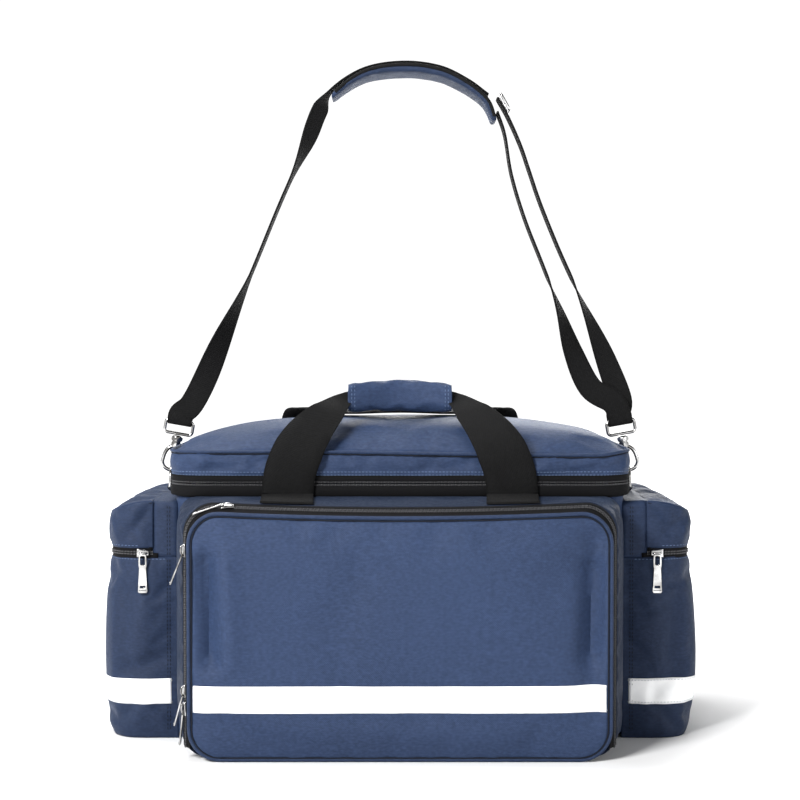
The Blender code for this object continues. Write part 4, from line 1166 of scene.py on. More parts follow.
def make_front_panel():
    half_w = (PANEL_HI.x - PANEL_LO.x) / 2
    foot = FOOT_LO.z
    half_h = (PANEL_HI.z - foot) / 2
    mid_z = (PANEL_HI.z + foot) / 2
    rows = []
    for line in rounded_grid(half_w, half_h, PANEL_CORNER, 0.0055):
        row = []
        for a, b in line:
            depth = -edge_distance(a, b, half_w, half_h, PANEL_CORNER)
            crown = 1 - max(0.0, 1 - depth / 0.040) ** 2.6
            inside = min(1.0, max(depth, 0) / 0.012)
            wave = wobble((a, b, 0), 9, 0.0016, 4.4) + creased(a, mid_z + b, PANEL_FOLDS)
            y = PANEL_LO.y + 0.0016 - 0.0042 * crown - wave * inside
            row.append(Vector((a, y, mid_z + b)))
        rows.append(row)
    panel = sheet("pocket_panel", rows, [CLOTH, LINING])
    face_out(panel, lambda c: Vector((0, -1, 0)))

    def edge(p):
        return 1.0 if edge_distance(p.x, p.z - mid_z, half_w, half_h, PANEL_CORNER) > -0.005 else 0.0

    soften(panel, edge, pressure=0.2, spare=0.006, cap=0.0014, frames=14, stiffness=8.0)
    reshape(panel, pocket_sag)
    tree = surface(panel)
    thicken(panel, 0.0040, 1)
    fold = (("bag", "front_flap"), (0, PANEL_LO.y, 0.0060), (0, PANEL_LO.y, 0.0200))
    dress_fold(panel, *fold, "panel_fabric", "front_pocket_panel", "front_pocket_foot")

    ring = panel_ring(0.0008, 0.0010, 0.0008, 0.0019)
    piping = tube("pocket_panel_piping", ring, 0.0019, CLOTH_EDGE, closed=True)
    dress_fold(piping, *fold, "piping_fabric", "front_pocket_piping")
    # A near-black cord just inside the piping, painted as the shade in the seam's groove.
    ring = panel_ring(-0.0019, 0.0030, -0.0020, 0.0007)
    seam_shadow = tube("pocket_panel_painted_seam_shadow", ring, 0.0008, DARK_THREAD_AND_SEAM_SHADOW, closed=True, sides=6)
    dress_fold(seam_shadow, *fold, "piping_fabric")

    x_end = FRONT_BAND_HI.x + 0.0005
    plan = [(x_end * (2 * i / 150 - 1), PANEL_LO.y) for i in range(151)]
    make_band("pocket_stripe", plan, (FRONT_BAND_LO.z, FRONT_BAND_HI.z), tree, Vector((0, 1, 0)),
              "front_flap", "front_reflective_band")


def make_band(name, plan, heights, tree, way, body, node):
    """Reflective tape laid on a surface over a plan outline, with a sewn row along each edge."""
    low, high = heights
    fixed = not callable(way)
    rows = []
    for i in range(9):
        row = []
        for x, y in plan:
            point = Vector((x, y, low + (high - low) * i / 8))
            look = way if fixed else way(point)
            row.append(land(tree, point - look * 0.03, look, 0.00045)[0])
        rows.append(row)
    keep = [i for i in range(len(plan)) if all(row[i] is not None for row in rows)]
    rows = [[row[i] for i in keep] for row in rows]
    item = sheet(name, rows, [BEAD, BEAD])
    face_out(item, (lambda c: -way) if fixed else outward_from(0.0))
    thicken(item, 0.0004)
    dress(item, body, "reflective_tape", node)
    top = surface(item)
    for number, z in enumerate((low + 0.0018, high - 0.0018)):
        path = [Vector((p.x, p.y, z)) for p in rows[4]]
        sew(f"{name}_stitch_{number}", path, top, way, WHITE_THREAD, body, 0.0032, (0.0022, 0.0006, 0.0005))


# ---- side pockets -------------------------------------------------------------------------
def side_route(side, inner, grow, z):
    """Plan of a side pocket from its front at the body, round the outside, to its rear."""
    outer = SIDE_HI.x + grow
    y0 = SIDE_LO.y - grow
    y1 = SIDE_HI.y + grow
    radius = SIDE_CORNER
    points = [(inner, y0)] + arc(outer - radius, y0 + radius, radius, -90, 0, 10)
    points += arc(outer - radius, y1 - radius, radius, 0, 90, 10) + [(inner, y1)]
    return [Vector((side * x, y, z)) for x, y in points]


def pocket_out(p, side, outer, front_share, depth_share):
    """Way a pocket's cloth bulges at a point: sideways on its outer face, front and back on those faces."""
    x = side if abs(p.x) > outer - OUTER_FACE else front_share
    y = depth_share * (p.y - MID_Y) / SIDE_HALF if abs(p.y - MID_Y) > SIDE_FACE else 0.0
    return Vector((x, y, 0))


def side_swell(z):
    """How far the filled pocket stands out at a height."""
    return 0.0062 * sin(pi * min(max((z + 0.045) / 0.245, 0.0), 1.0)) ** 1.2


POCKET_FOLDS = (
    (0.2700, 0.165, 0.2660, 0.070, 0.0060, -0.0026), (0.2520, 0.165, 0.2540, 0.085, 0.0080, 0.0018),
    (0.2290, 0.150, 0.2400, 0.138, 0.0045, -0.0014), (0.2290, 0.105, 0.2380, 0.096, 0.0045, -0.0012),
    (0.2800, 0.014, 0.2560, 0.040, 0.0055, -0.0018), (0.2350, 0.012, 0.2480, 0.036, 0.0060, 0.0014),
    (0.2760, 0.172, 0.2600, 0.150, 0.0050, 0.0014),
)
CAP_FOLDS = (
    (0.2820, 0.224, 0.2570, 0.194, 0.0042, -0.0024), (0.2620, 0.228, 0.2760, 0.200, 0.0055, 0.0020),
    (0.2480, 0.226, 0.2620, 0.204, 0.0042, -0.0016), (0.2450, 0.200, 0.2600, 0.192, 0.0040, 0.0012),
)
LONG_FOLDS = (
    (-0.030, 0.160, -0.020, 0.060, 0.0080, -0.0024), (0.060, 0.165, 0.075, 0.080, 0.0090, 0.0022),
    (0.100, 0.160, 0.110, 0.070, 0.0070, -0.0020),
    (-0.050, 0.222, -0.020, 0.196, 0.0060, -0.0020), (0.080, 0.222, 0.120, 0.198, 0.0060, -0.0020),
)


def make_side_pocket(side, name):
    inner = SIDE_EDGE - SIDE_LAP
    top = SIDE_HI.z + 0.0004
    steps = 34
    rows = []
    for i in range(steps + 1):
        z = top * i / steps
        tuck = 0.0022 * max(0.0, 1 - z / 0.007) ** 2
        route = side_route(side, inner, 0.0, z)
        row = resample(route, 72, False)
        for p in row:
            reach = min(max((abs(p.x) - SIDE_EDGE) / 0.02, 0.0), 1.0)
            out = pocket_out(p, side, SIDE_HI.x, 0.25 * side, 0.55)
            p += out * ((side_swell(z) - tuck) * reach)
            p += out * wobble((p.x * 0.4, p.y * 1.5, z * 0.55), 21, 0.0014, 6.0 + side) * reach
            if p.y < SIDE_LO.y + OUTER_FACE:
                p.y -= creased(abs(p.x), z + 0.006 * (side + 1), POCKET_FOLDS) * sin(pi * i / steps) ** 0.5
            elif abs(p.x) > SIDE_HI.x - OUTER_FACE:
                p.x += side * creased(p.y, z, LONG_FOLDS) * sin(pi * i / steps) ** 0.5
        rows.append(row)
    item = sheet(name + "_pocket", rows, [CLOTH_PAINTED_SHADE, LINING])
    face_out(item, outward_from(side * 0.24))

    def held(p):
        return 1.0 if p.z < 0.006 or p.z > top - 0.004 or abs(p.x) < SIDE_EDGE + 0.004 else 0.0

    soften(item, held, pressure=1.6, spare=0.035, cap=0.0045, frames=16, stiffness=1.5)
    subdivide(item)
    tree = surface(item)
    sew_columns(name + "_pocket_seam", side, 0.010, top - 0.004, tree)
    path = resample(side_route(side, SIDE_EDGE + 0.010, 0.002, top - 0.0022), 90, False)
    sew(name + "_pocket_zip_seam", path, tree, to_pocket, THREAD, "bag", 0.0036)
    thicken(item, 0.0018, 1)
    dress(item, "bag", "body_fabric", name + "_pocket_body")

    floor_rows = []
    for k in (0.02, 0.35, 0.7, 1.0):
        line = resample(side_route(side, inner, -0.004, 0.0009), 60, False)
        floor_rows.append([Vector((side * (inner + (abs(p.x) - inner) * k), p.y, p.z)) for p in line])
    floor = sheet(name + "_pocket_base", floor_rows, [CLOTH_EDGE, LINING])
    face_out(floor, lambda c: Vector((0, 0, -1)))
    thicken(floor, 0.0015, 1)
    dress(floor, "bag", "body_fabric")
    plan = [(p.x, p.y) for p in resample(side_route(side, SIDE_EDGE + 0.0035, 0.0, 0.0), 110, False)]
    make_band(name + "_stripe", plan, (SIDE_BAND_LO.z, SIDE_BAND_HI.z), tree, to_pocket, "bag",
              name + "_reflective_band")


def sew_columns(name, side, low, high, tree):
    """Two upright sewn rows that hold a side pocket's cloth to the body."""
    for number, x in enumerate((SIDE_EDGE + 0.0045, SIDE_EDGE + 0.0070)):
        path = [Vector((side * x, SIDE_LO.y, z)) for z in (low, high)]
        sew(f"{name}_{number}", path, tree, (0, 1, 0), DARK_THREAD_AND_SEAM_SHADOW, "bag", 0.0038, BOLD_STITCH)


def cap_edge(reach):
    """Height of a cap's top edge at a share of the way from its hinge to its outer side."""
    return CAP_TOP - (CAP_TOP - CAP_OUTER_TOP) * min(max(reach, 0.0), 1.0) ** 2


def make_side_cap(side, name):
    inner = CAP_HINGE_X
    outer = CAP_HI.x
    low = CAP_LO.z - 0.0003
    body = name + "_cap"
    line = resample(side_route(side, inner - 0.0012, 0.0, 0.0), 72, False)
    rows = []
    for i in range(10):
        share = i / 9
        row = []
        for p in line:
            reach = max((abs(p.x) - inner) / (outer - inner), 0.0)
            z = low + (cap_edge(reach) - low) * share
            swell = (0.0022 + 0.0024 * sin(pi * share * 0.9)) * min(reach * 3, 1.0)
            out = pocket_out(p, side, outer, 0.0, 0.5)
            crease = wobble((p.x, p.y * 1.4, z * 1.6), 26, 0.0018, 11.0 + side) * sin(pi * share)
            spot = Vector((p.x, p.y, z)) + out * (swell + crease)
            if abs(p.y - MID_Y) > 0.1:
                spot.y += (1 if p.y > MID_Y else -1) * 0.0006
            if p.y < SIDE_LO.y + OUTER_FACE:
                spot.y -= creased(abs(p.x), z, CAP_FOLDS) * sin(pi * share) * min(reach * 8, 1.0)
            elif abs(p.x) > outer - OUTER_FACE:
                spot.x += side * creased(p.y, z, LONG_FOLDS) * sin(pi * share)
            row.append(spot)
        rows.append(row)
    wall = sheet(name + "_cap_wall", rows, [CLOTH_PAINTED_SHADE, LINING])
    face_out(wall, outward_from(side * 0.25))

    def held(p):
        reach = (abs(p.x) - inner) / (outer - inner)
        return 1.0 if p.z < low + 0.005 or p.z > cap_edge(reach) - 0.003 or abs(p.x) < inner + 0.003 else 0.0

    soften(wall, held, pressure=1.2, spare=0.04, cap=0.0030, frames=14, stiffness=1.2)
    subdivide(wall)
    tree = surface(wall)
    path = [Vector((p.x, p.y, low + 0.0025)) for p in line[4:-4]]
    sew(name + "_cap_seam", path, tree, to_pocket, THREAD, body, 0.0036)
    thicken(wall, 0.0010, 1)
    dress(wall, body, "body_fabric", name + "_pocket_cap")

    top_rows = []
    edge = []
    far_edge = []
    for i in range(13):
        reach = i / 12
        x = inner + (outer + 0.0022 - inner) * reach
        past = max(x - (SIDE_HI.x - SIDE_CORNER), 0.0)
        pull = SIDE_CORNER - sqrt(max(SIDE_CORNER ** 2 - min(past, SIDE_CORNER) ** 2, 0.0))
        y0 = SIDE_LO.y + pull
        y1 = SIDE_HI.y - pull
        row = []
        for k in range(45):
            share = k / 44
            y = y0 + (y1 - y0) * share
            puff = 0.0016 * (1 - abs(2 * share - 1) ** 3) * (0.35 + 0.65 * sin(pi * min(reach, 0.98)))
            crease = wobble((x, y, 0), 30, 0.0022, 17.0 + side) * (1 - abs(2 * share - 1) ** 4)
            row.append(Vector((side * x, y, cap_edge(reach) + puff + crease * min(reach * 4, 1.0))))
        top_rows.append(row)
        edge.append(row[0])
        far_edge.append(row[-1])
    lid = sheet(name + "_cap_top", top_rows, [CLOTH_PAINTED_SHADE, LINING])
    face_out(lid, lambda c: Vector((0, 0, 1)))
    last = top_rows[-1]

    def rim(p):
        near_end = min(abs(p.y - e.y) for e in (edge[0], far_edge[0])) < 0.004
        near_out = abs(p.x) > outer - 0.003
        near_hinge = abs(p.x) < inner + 0.002
        corner = any((p - e).length < 0.003 for e in edge + far_edge)
        return 1.0 if near_end or near_out or near_hinge or corner else 0.0

    soften(lid, rim, pressure=0.5, spare=0.05, cap=0.0026, frames=16, stiffness=0.8)
    subdivide(lid)
    thicken(lid, 0.0016, 1)
    dress(lid, body, "body_fabric")
    seam = edge + last[1:-1] + list(reversed(far_edge))
    seam = resample(smooth_path(seam, 2), 160, False)
    seam_line(name + "_cap_edge", seam, 0.0011, CLOTH_EDGE, body)
    # A near-black cord under the cap's edge roll, painted as the shade beneath it.
    under = []
    for p in seam:
        out = 0.0004 if abs(p.x) > outer - 0.01 else 0.0
        under.append(p + Vector((side * out, 0.0004 if p.y > MID_Y else -0.0004, -0.0016)))
    seam_line(name + "_cap_painted_seam_shadow", under, 0.0007, DARK_THREAD_AND_SEAM_SHADOW, body, sides=6)


def make_side_shoulder(side, name):
    """Fixed cloth between the body and a cap's hinge, up the front, over the top and down the back."""
    inner = SIDE_EDGE - SIDE_LAP
    outer = CAP_HINGE_X - 0.0004
    low = SIDE_HI.z + 0.0004
    rows = []
    for i in range(6):
        x = inner + (outer - inner) * i / 5
        arch = [(SIDE_LO.y, low), (SIDE_LO.y, CAP_TOP - 0.003), (SIDE_LO.y + 0.003, CAP_TOP),
                (SIDE_HI.y - 0.003, CAP_TOP), (SIDE_HI.y, CAP_TOP - 0.003), (SIDE_HI.y, low)]
        row = resample([Vector((side * x, y, z)) for y, z in arch], 90, False)
        for p in row:
            if p.z > CAP_TOP - 0.002:
                share = (p.y - SIDE_LO.y) / (SIDE_HI.y - SIDE_LO.y)
                p.z += 0.0016 * (1 - abs(2 * share - 1) ** 3) + wobble(p, 28, 0.0012, 2.0 + side)
            else:
                free = min(max((outer - 0.003 - abs(p.x)) / 0.006, 0.0), 1.0)
                p.y += (-1 if p.y < MID_Y else 1) * ((0.0010 + wobble(p, 40, 0.0010, 9.0)) * free - 0.0005)
        rows.append(row)
    item = sheet(name + "_shoulder", rows, [CLOTH_PAINTED_SHADE, LINING])
    face_out(item, lambda c: Vector((0, c.y - MID_Y, 0.06 if c.z > CAP_TOP - 0.004 else 0)))
    tree = surface(item)
    sew_columns(name + "_shoulder_seam", side, low + 0.003, CAP_TOP - 0.006, tree)
    thicken(item, 0.0014, 1)
    dress(item, "bag", "body_fabric", name + "_pocket_shoulder")


def make_side_zip(side, name):
    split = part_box(name + "_pocket_zip_lower")[1].z + 0.00015
    start = CAP_HINGE_X - 0.0058
    for part, body, low, high, node in (
        ("_zip_lower", "bag", SIDE_HI.z - 0.0006, split - 0.0003, "_pocket_zip_lower"),
        ("_zip_upper", name + "_cap", split + 0.0003, CAP_LO.z + 0.0006, "_pocket_zip_upper"),
    ):
        rows = []
        for i in range(5):
            z = low + (high - low) * i / 4
            first = start if body == "bag" else CAP_HINGE_X
            row = resample(side_route(side, first, 0.0, z), 100, False)
            for p in row:
                push(p, side, 0.0018)
            rows.append(row)
        item = sheet(name + part, rows, [TAPE])
        face_out(item, outward_from(side * 0.24))
        thicken(item, 0.0010)
        dress(item, body, "zip_tape", name + node)
        z = split - 0.0011 if body == "bag" else split + 0.0011
        path = resample(side_route(side, CAP_HINGE_X, 0.0, z), 160, False)
        for p in path:
            push(p, side, 0.0021)
        outs = [Vector((way.y, -way.x, 0)) * side for way in directions(path)]
        coil_row(name + part + "_coil", path, outs, body, size=(0.0019, 0.0010, 0.0010))


def push(p, side, amount):
    """Moves a point of a side pocket's outline outward."""
    if abs(p.x) > SIDE_HI.x - 0.015:
        p.x += side * amount
    if abs(p.y - MID_Y) > SIDE_FACE:
        p.y += (1 if p.y > MID_Y else -1) * amount * 0.5


# ---- handles ------------------------------------------------------------------------------
def mirrored(points):
    """A route from the left to the middle, carried on to the right."""
    left = [Vector(p) for p in points]
    right = [Vector((-p.x, p.y, p.z)) for p in reversed(left[:-1])]
    return left + right


def make_front_handle():
    base_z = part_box("front_handle_webbing")[0].z
    y = BODY_LO.y - 0.0044
    grip_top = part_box("handle_grip_wrap")[1]
    grip_y = grip_top.y - 0.0125
    grip_z = grip_top.z - 0.0182
    route = mirrored([
        (-HANDLE_X, y, base_z), (-0.1060, y - 0.0010, 0.2640), (-0.0980, y - 0.0020, 0.2850),
        (-0.0870, y + 0.0050, 0.3030), (-0.0710, y + 0.0250, 0.3210),
        (-0.0540, grip_y - 0.0165, grip_z - 0.0026), (-0.0300, grip_y - 0.0045, grip_z - 0.0005),
        (0.0, grip_y, grip_z),
    ])
    path = smooth_path(route, 8)
    base = Vector((0, -1, 0))
    lean = Vector((0, -0.8, 0.6))
    facings = blend_along([base, base, Vector((0, -0.9, 0.4)), lean, lean, lean,
                           Vector((0, -0.9, 0.4)), base, base], len(path))
    narrowing = [HANDLE_W, HANDLE_W, 0.0485, 0.0425, 0.033, 0.016, 0.013]
    widths = blend_along(narrowing + [0.013] + narrowing[::-1], len(path))
    item = ribbon("front_handle", path, facings, widths, WEB_T, WEB_WIDE)
    dress_fold(item, ("bag", "front_handle"), (0, y, base_z), (0, y, base_z + 0.022), "black_webbing",
               "front_handle_webbing")
    make_grip(grip_y, grip_z)


def make_grip(grip_y, grip_z):
    lo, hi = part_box("handle_grip_wrap")
    half = (hi.x - lo.x) / 2
    rows = []
    for i in range(41):
        share = i / 20 - 1
        x = share * half
        y = grip_y - 0.0140 * share * share
        z = grip_z - 0.0018 * share * share
        pinch = 0.0016 * abs(share) ** 10
        outline = rounded(-0.0112 + pinch, 0.0112 - pinch, -0.0146 + pinch, 0.0146 - pinch, 0.0085)
        ring = resample([(x, y + a, z + b) for a, b in outline], 44, True)
        for p in ring:
            p.z += wobble(p, 60, 0.0012, 21.0)
        rows.append(ring)
    item = sheet("handle_grip", rows, [CLOTH, LINING], closed=True)
    face_out(item, lambda c: Vector((0, c.y - grip_y, c.z - grip_z)))
    soften(item, lambda p: 1.0 if abs(p.x) > half - 0.003 else 0.0, pressure=2.0, spare=0.03, cap=0.0022,
           frames=14, stiffness=2.0)
    subdivide(item)
    tree = surface(item)
    for number, x in enumerate((-half + 0.0035, -half + 0.0065, half - 0.0065, half - 0.0035)):
        path = [Vector((x, grip_y - 0.03, grip_z - 0.0135 + 0.027 * k / 8)) for k in range(9)]
        sew(f"grip_stitch_{number}", path, tree, (0, 1, 0), THREAD, "front_handle", 0.003)
    thicken(item, 0.0018, 1)
    dress(item, "front_handle", "body_fabric", "handle_grip_wrap")
    seam = [Vector((x, grip_y + 0.0105 - 0.0140 * (x / half) ** 2, grip_z - 0.010)) for x in
            (half * (2 * k / 40 - 1) * 0.97 for k in range(41))]
    seam_line("grip_closure_edge", seam, 0.0009, CLOTH_EDGE, "front_handle")


def make_handle_feet(tree):
    """Webbing carried on from each end of the front handle, sewn flat over the pocket's top."""
    front = PANEL_LO.y + 0.0188
    rear = BODY_LO.y - 0.0020
    down = Vector((0, 0, -1))
    for side, name in ((-1, "left"), (1, "right")):
        path = []
        facings = []
        for k in range(25):
            y = rear + (front - rear) * k / 24
            x = HANDLE_X - 0.0002 - 0.0030 * k / 24
            starts = [(side * (x + reach), y, GUSSET_TOP + 0.02) for reach in (-0.02, 0.02)]
            near, far = (land(tree, start, down)[0] for start in starts)
            if near is None or far is None:
                continue
            path.append((near + far) / 2 + Vector((0, 0, 0.0021)))
            facings.append((far - near).cross(Vector((0, side, 0))).normalized())
        item = ribbon(name + "_handle_foot", path, facings, [HANDLE_W] * len(path), WEB_T, WEB_WIDE)
        dress(item, "bag", "black_webbing")


def make_rear_handle():
    y = BODY_HI.y + 0.0040
    route = mirrored([
        (-0.112, y, 0.2495), (-0.1115, y + 0.0016, 0.2830), (-0.1070, BODY_HI.y - 0.0040, 0.3045),
        (-0.0975, BODY_HI.y - 0.0300, 0.3150), (-0.0820, MID_Y + 0.0680, 0.3195),
        (-0.0620, MID_Y + 0.0260, 0.3180), (-0.0330, MID_Y - 0.0080, 0.3195),
        (0.0, MID_Y - 0.0220, 0.3222),
    ])
    path = smooth_path(route, 8)
    rear = Vector((0, 1, 0))
    up = Vector((0, 0, 1))
    tipped = up - rear * 0.14
    facings = blend_along([rear, rear * 0.9 + up * 0.4, up, tipped, tipped, tipped, up,
                           rear * 0.9 + up * 0.4, rear], len(path))
    item = ribbon("rear_handle_loop", path, facings, [HANDLE_W] * len(path), WEB_T, WEB_WIDE)
    dress(item, "rear_handle", "black_webbing", "rear_handle_webbing")


def make_handle_anchors(tree):
    """Webbing ends sewn to the back of the body, each with a crossed box of stitches."""
    low, high = 0.150, 0.2475
    ahead = Vector((0, -1, 0))
    for side, name in ((-1, "left"), (1, "right")):
        x = side * 0.112
        path = []
        for k in range(25):
            z = low + (high - low) * k / 24
            hit, _ = land(tree, (x, BODY_HI.y + 0.03, z), ahead, 0.0016)
            path.append(hit if hit is not None else Vector((x, BODY_HI.y + 0.003, z)))
            path[-1].y = max(path[-1].y, BODY_HI.y + 0.0030 if z > 0.228 else 0.0)
        item = ribbon(f"{name}_rear_handle_anchor", path, [-ahead] * len(path), [HANDLE_W] * len(path), WEB_T,
                      WEB_WIDE)
        dress(item, "bag", "black_webbing")
        patch = surface(item)
        corners = [Vector((x + a, BODY_HI.y, z)) for a, z in
                   ((-0.021, 0.154), (0.021, 0.154), (0.021, 0.196), (-0.021, 0.196))]
        spots = []
        for a, b in ((0, 1), (1, 2), (2, 3), (3, 0), (0, 2), (1, 3)):
            ends = [corners[a], corners[b]]
            even = resample(ends, int((ends[1] - ends[0]).length / 0.0034), False)
            for point, along in zip(even, directions(even)):
                hit, normal = land(patch, point - ahead * 0.03, ahead, STITCH_LIFT)
                if hit is not None:
                    spots.append((hit, along, normal))
        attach(beads(f"{name}_anchor_stitch", spots, DARK_THREAD_AND_SEAM_SHADOW, (0.0025, 0.0008, 0.0007)), "bag")


# ---- shoulder strap -----------------------------------------------------------------------
LEAN = radians(10)
HOOK_RADIUS = 0.0080
EYE_HIGH = 0.0450
EYE_WIRE = 0.0017


def hook_point(side, u, w, v=0.0):
    """Point in a hook's own frame: u outward, w up its shank, v toward the back."""
    centre_x = 0.2385 - 0.003 * sin(LEAN)
    centre_z = 0.2610 + 0.003 * cos(LEAN)
    x = centre_x + u * cos(LEAN) - w * sin(LEAN)
    z = centre_z + u * sin(LEAN) + w * cos(LEAN)
    return Vector((side * x, MID_Y + v, z))


def around_eye(side, front, back):
    """Turn of the strap round its eye, from a height on its front to one on its back."""
    low = EYE_HIGH - EYE_WIRE - 0.0022
    turn = [(front, -0.0042), (EYE_HIGH, -0.0040), (low + 0.0009, -0.0026), (low - 0.0004, 0.0),
            (low + 0.0009, 0.0026), (EYE_HIGH, 0.0040), (back, 0.0042)]
    return [hook_point(side, 0.0, w, v) for w, v in turn]


def strap_facings(path, side, half_turn):
    """Face normals of the strap: square to the eye at the hook, turning to lie over the shoulder above."""
    flat = Vector((0, -1, 0))
    facings = []
    for i, (point, along) in enumerate(zip(path, directions(path))):
        rolled = along.cross(Vector((0, 1, 0)))
        if side < 0:
            rolled = -rolled
        if point.z < (0.3080 if side < 0 else 0.3140):
            level = along.cross(Vector((cos(LEAN), 0, side * sin(LEAN))))
            facings.append(level if side > 0 else -level)
            continue
        share = min(max((point.z - 0.3275) / 0.130, 0.0), 1.0)
        if side < 0 and point.x < -0.06:
            share -= 0.42 * smooth_step(point.z, 0.555, 0.615) * (1 - smooth_step(point.z, 0.632, 0.652))
        front = -flat if half_turn and i >= len(path) / 2 else flat
        facings.append(front * (1 - share) + rolled * share)
    return facings


def make_strap():
    y = MID_Y
    left_route = list(reversed(around_eye(-1, 0.0520, 0.0560)))
    left_route += [(-0.2180, y - 0.002, 0.3250), (-0.2045, y, 0.3505), (-0.1840, y, 0.3980),
                   (-0.1560, y, 0.4600), (-0.1250, y, 0.5346), (-0.0980, y, 0.5950), (-0.0842, y, 0.6300),
                   (-0.0700, y, 0.6530), (-0.0370, y, 0.6735), (0.0030, y, 0.6800), (0.0410, y, 0.6755),
                   (0.0700, y, 0.6620), (0.0915, y, 0.6465)]
    path = smooth_path(left_route, 7)
    item = ribbon("strap_long_run", path, strap_facings(path, -1, False), [STRAP_W] * len(path), WEB_T,
                  WEB_SLIM)
    dress(item, "strap", "black_webbing", "strap_webbing_left")

    inner = [(0.1010, y, 0.6290), (0.1090, y, 0.6050), (0.1160, y, 0.5640), (0.1300, y, 0.5180),
             (0.1490, y, 0.4700), (0.1668, y, 0.4238), (0.1810, y - 0.001, 0.3800),
             (0.1985, y - 0.003, 0.3430)]
    turn = [hook_point(1, -0.0050, 0.0660, -0.0040)] + around_eye(1, 0.0520, 0.0520)
    turn += [hook_point(1, 0.0045, 0.0660, 0.0045)]
    outer = [(0.2190, y + 0.003, 0.3630), (0.2020, y + 0.001, 0.4050), (0.1820, y, 0.4500),
             (0.1640, y, 0.4900), (0.1459, y, 0.5346), (0.1344, y, 0.5680), (0.1250, y, 0.5950),
             (0.1120, y, 0.6240), (0.1010, y, 0.6435)]
    path = smooth_path(inner + turn + outer, 7)
    item = ribbon("strap_adjuster_loop", path, strap_facings(path, 1, True), [STRAP_W] * len(path), WEB_T,
                  WEB_SLIM)
    dress(item, "strap", "black_webbing", "strap_webbing_right")


def make_pad():
    drop = 0.0060
    line = [(-0.0760, 0.6330), (-0.0650, 0.6520), (-0.0350, 0.6722), (0.0030, 0.6784), (0.0390, 0.6742),
            (0.0660, 0.6618), (0.0880, 0.6440), (0.0965, 0.6230)]
    path = smooth_path([(x, MID_Y, z - drop) for x, z in line], 8)[6:]
    rows = []
    for i, (point, along) in enumerate(zip(path, directions(path))):
        out = Vector((-along.z, 0, along.x))
        share = abs(i / (len(path) - 1) * 2 - 1)
        width = 0.052 * (1 - 0.30 * share ** 4)
        thick = 0.0072 * (1 - 0.25 * share ** 6)
        outline = rounded(-width / 2, width / 2, -thick / 2, thick / 2, thick * 0.42, 4)
        rows.append(resample([point + Vector((0, a, 0)) + out * b for a, b in outline], 40, True))
    item = lofted("shoulder_cushion", rows, CLOTH_PAINTED_SHADE, 50)
    modify(item, "REMESH", mode="VOXEL", voxel_size=0.0036, use_smooth_shade=True)
    bake(item)
    soften(item, lambda p: 0.0, pressure=4.0, spare=0.01, cap=0.0022, frames=14, stiffness=3.0)
    subdivide(item)
    item.data.materials.clear()
    item.data.materials.append(CLOTH_PAINTED_SHADE)
    dress(item, "strap", "body_fabric", "shoulder_pad")
    for number, facing in enumerate((-1, 1)):
        route = []
        last = len(path) - 1
        for i, (point, along) in enumerate(zip(path, directions(path))):
            out = Vector((-along.z, 0, along.x))
            share = abs(i / last * 2 - 1)
            offset = 0.0245 * (1 - 0.30 * share ** 4)
            route.append(point + Vector((0, facing * offset, 0)) + out * 0.0026)
        edge = tube(f"cushion_binding_{number}", route[2:-2], 0.0018, WEB_SLIM)
        dress(edge, "strap", "black_webbing")


def make_strap_metal():
    """The strap's adjuster, and on each side its eye, hook and ring."""
    middle = Vector((0.1074, MID_Y, 0.6376))
    along = Vector((0.491, 0, -0.871))
    out = Vector((0.871, 0, 0.491))
    frame_path = [middle + along * a + Vector((0, b, 0)) + out * 0.0014
                  for a, b in rounded(-0.0096, 0.0096, -0.0165, 0.0165, 0.003, 5)]
    wire("adjuster_frame", resample(frame_path, 90, True), 0.0014, "strap", "tri_glide", closed=True)
    bar = [middle + Vector((0, b, 0)) + out * 0.0014 for b in (-0.016, -0.008, 0.0, 0.008, 0.016)]
    wire("adjuster_bar", bar, 0.0013, "strap")
    eye_half = 0.0145
    for side, name in ((-1, "left"), (1, "right")):
        outline = rounded(-eye_half, eye_half, 0.0310, EYE_HIGH, 0.0035, 5)
        eye = [hook_point(side, u, w) for u, w in outline]
        wire(name + "_strap_eye", resample(eye, 70, True), EYE_WIRE, "strap", name + "_hook_eye",
             closed=True, sides=12)
        make_hook(side, name)
        make_ring(side, name)


def turned(name, profile, side, centre_u):
    """Round fitting about a hook's shank: profile is (radius, height up the shank)."""
    rings = []
    up = (hook_point(side, 0, 1.0) - hook_point(side, 0, 0.0)).normalized()
    out = (hook_point(side, 1.0, 0) - hook_point(side, 0.0, 0)).normalized()
    back = up.cross(out)
    for radius, w in profile:
        centre = hook_point(side, centre_u, w)
        rings.append([centre + (out * cos(a) + back * sin(a)) * radius
                      for a in (2 * pi * k / 24 for k in range(24))])
    return lofted(name, rings, METAL, 35)


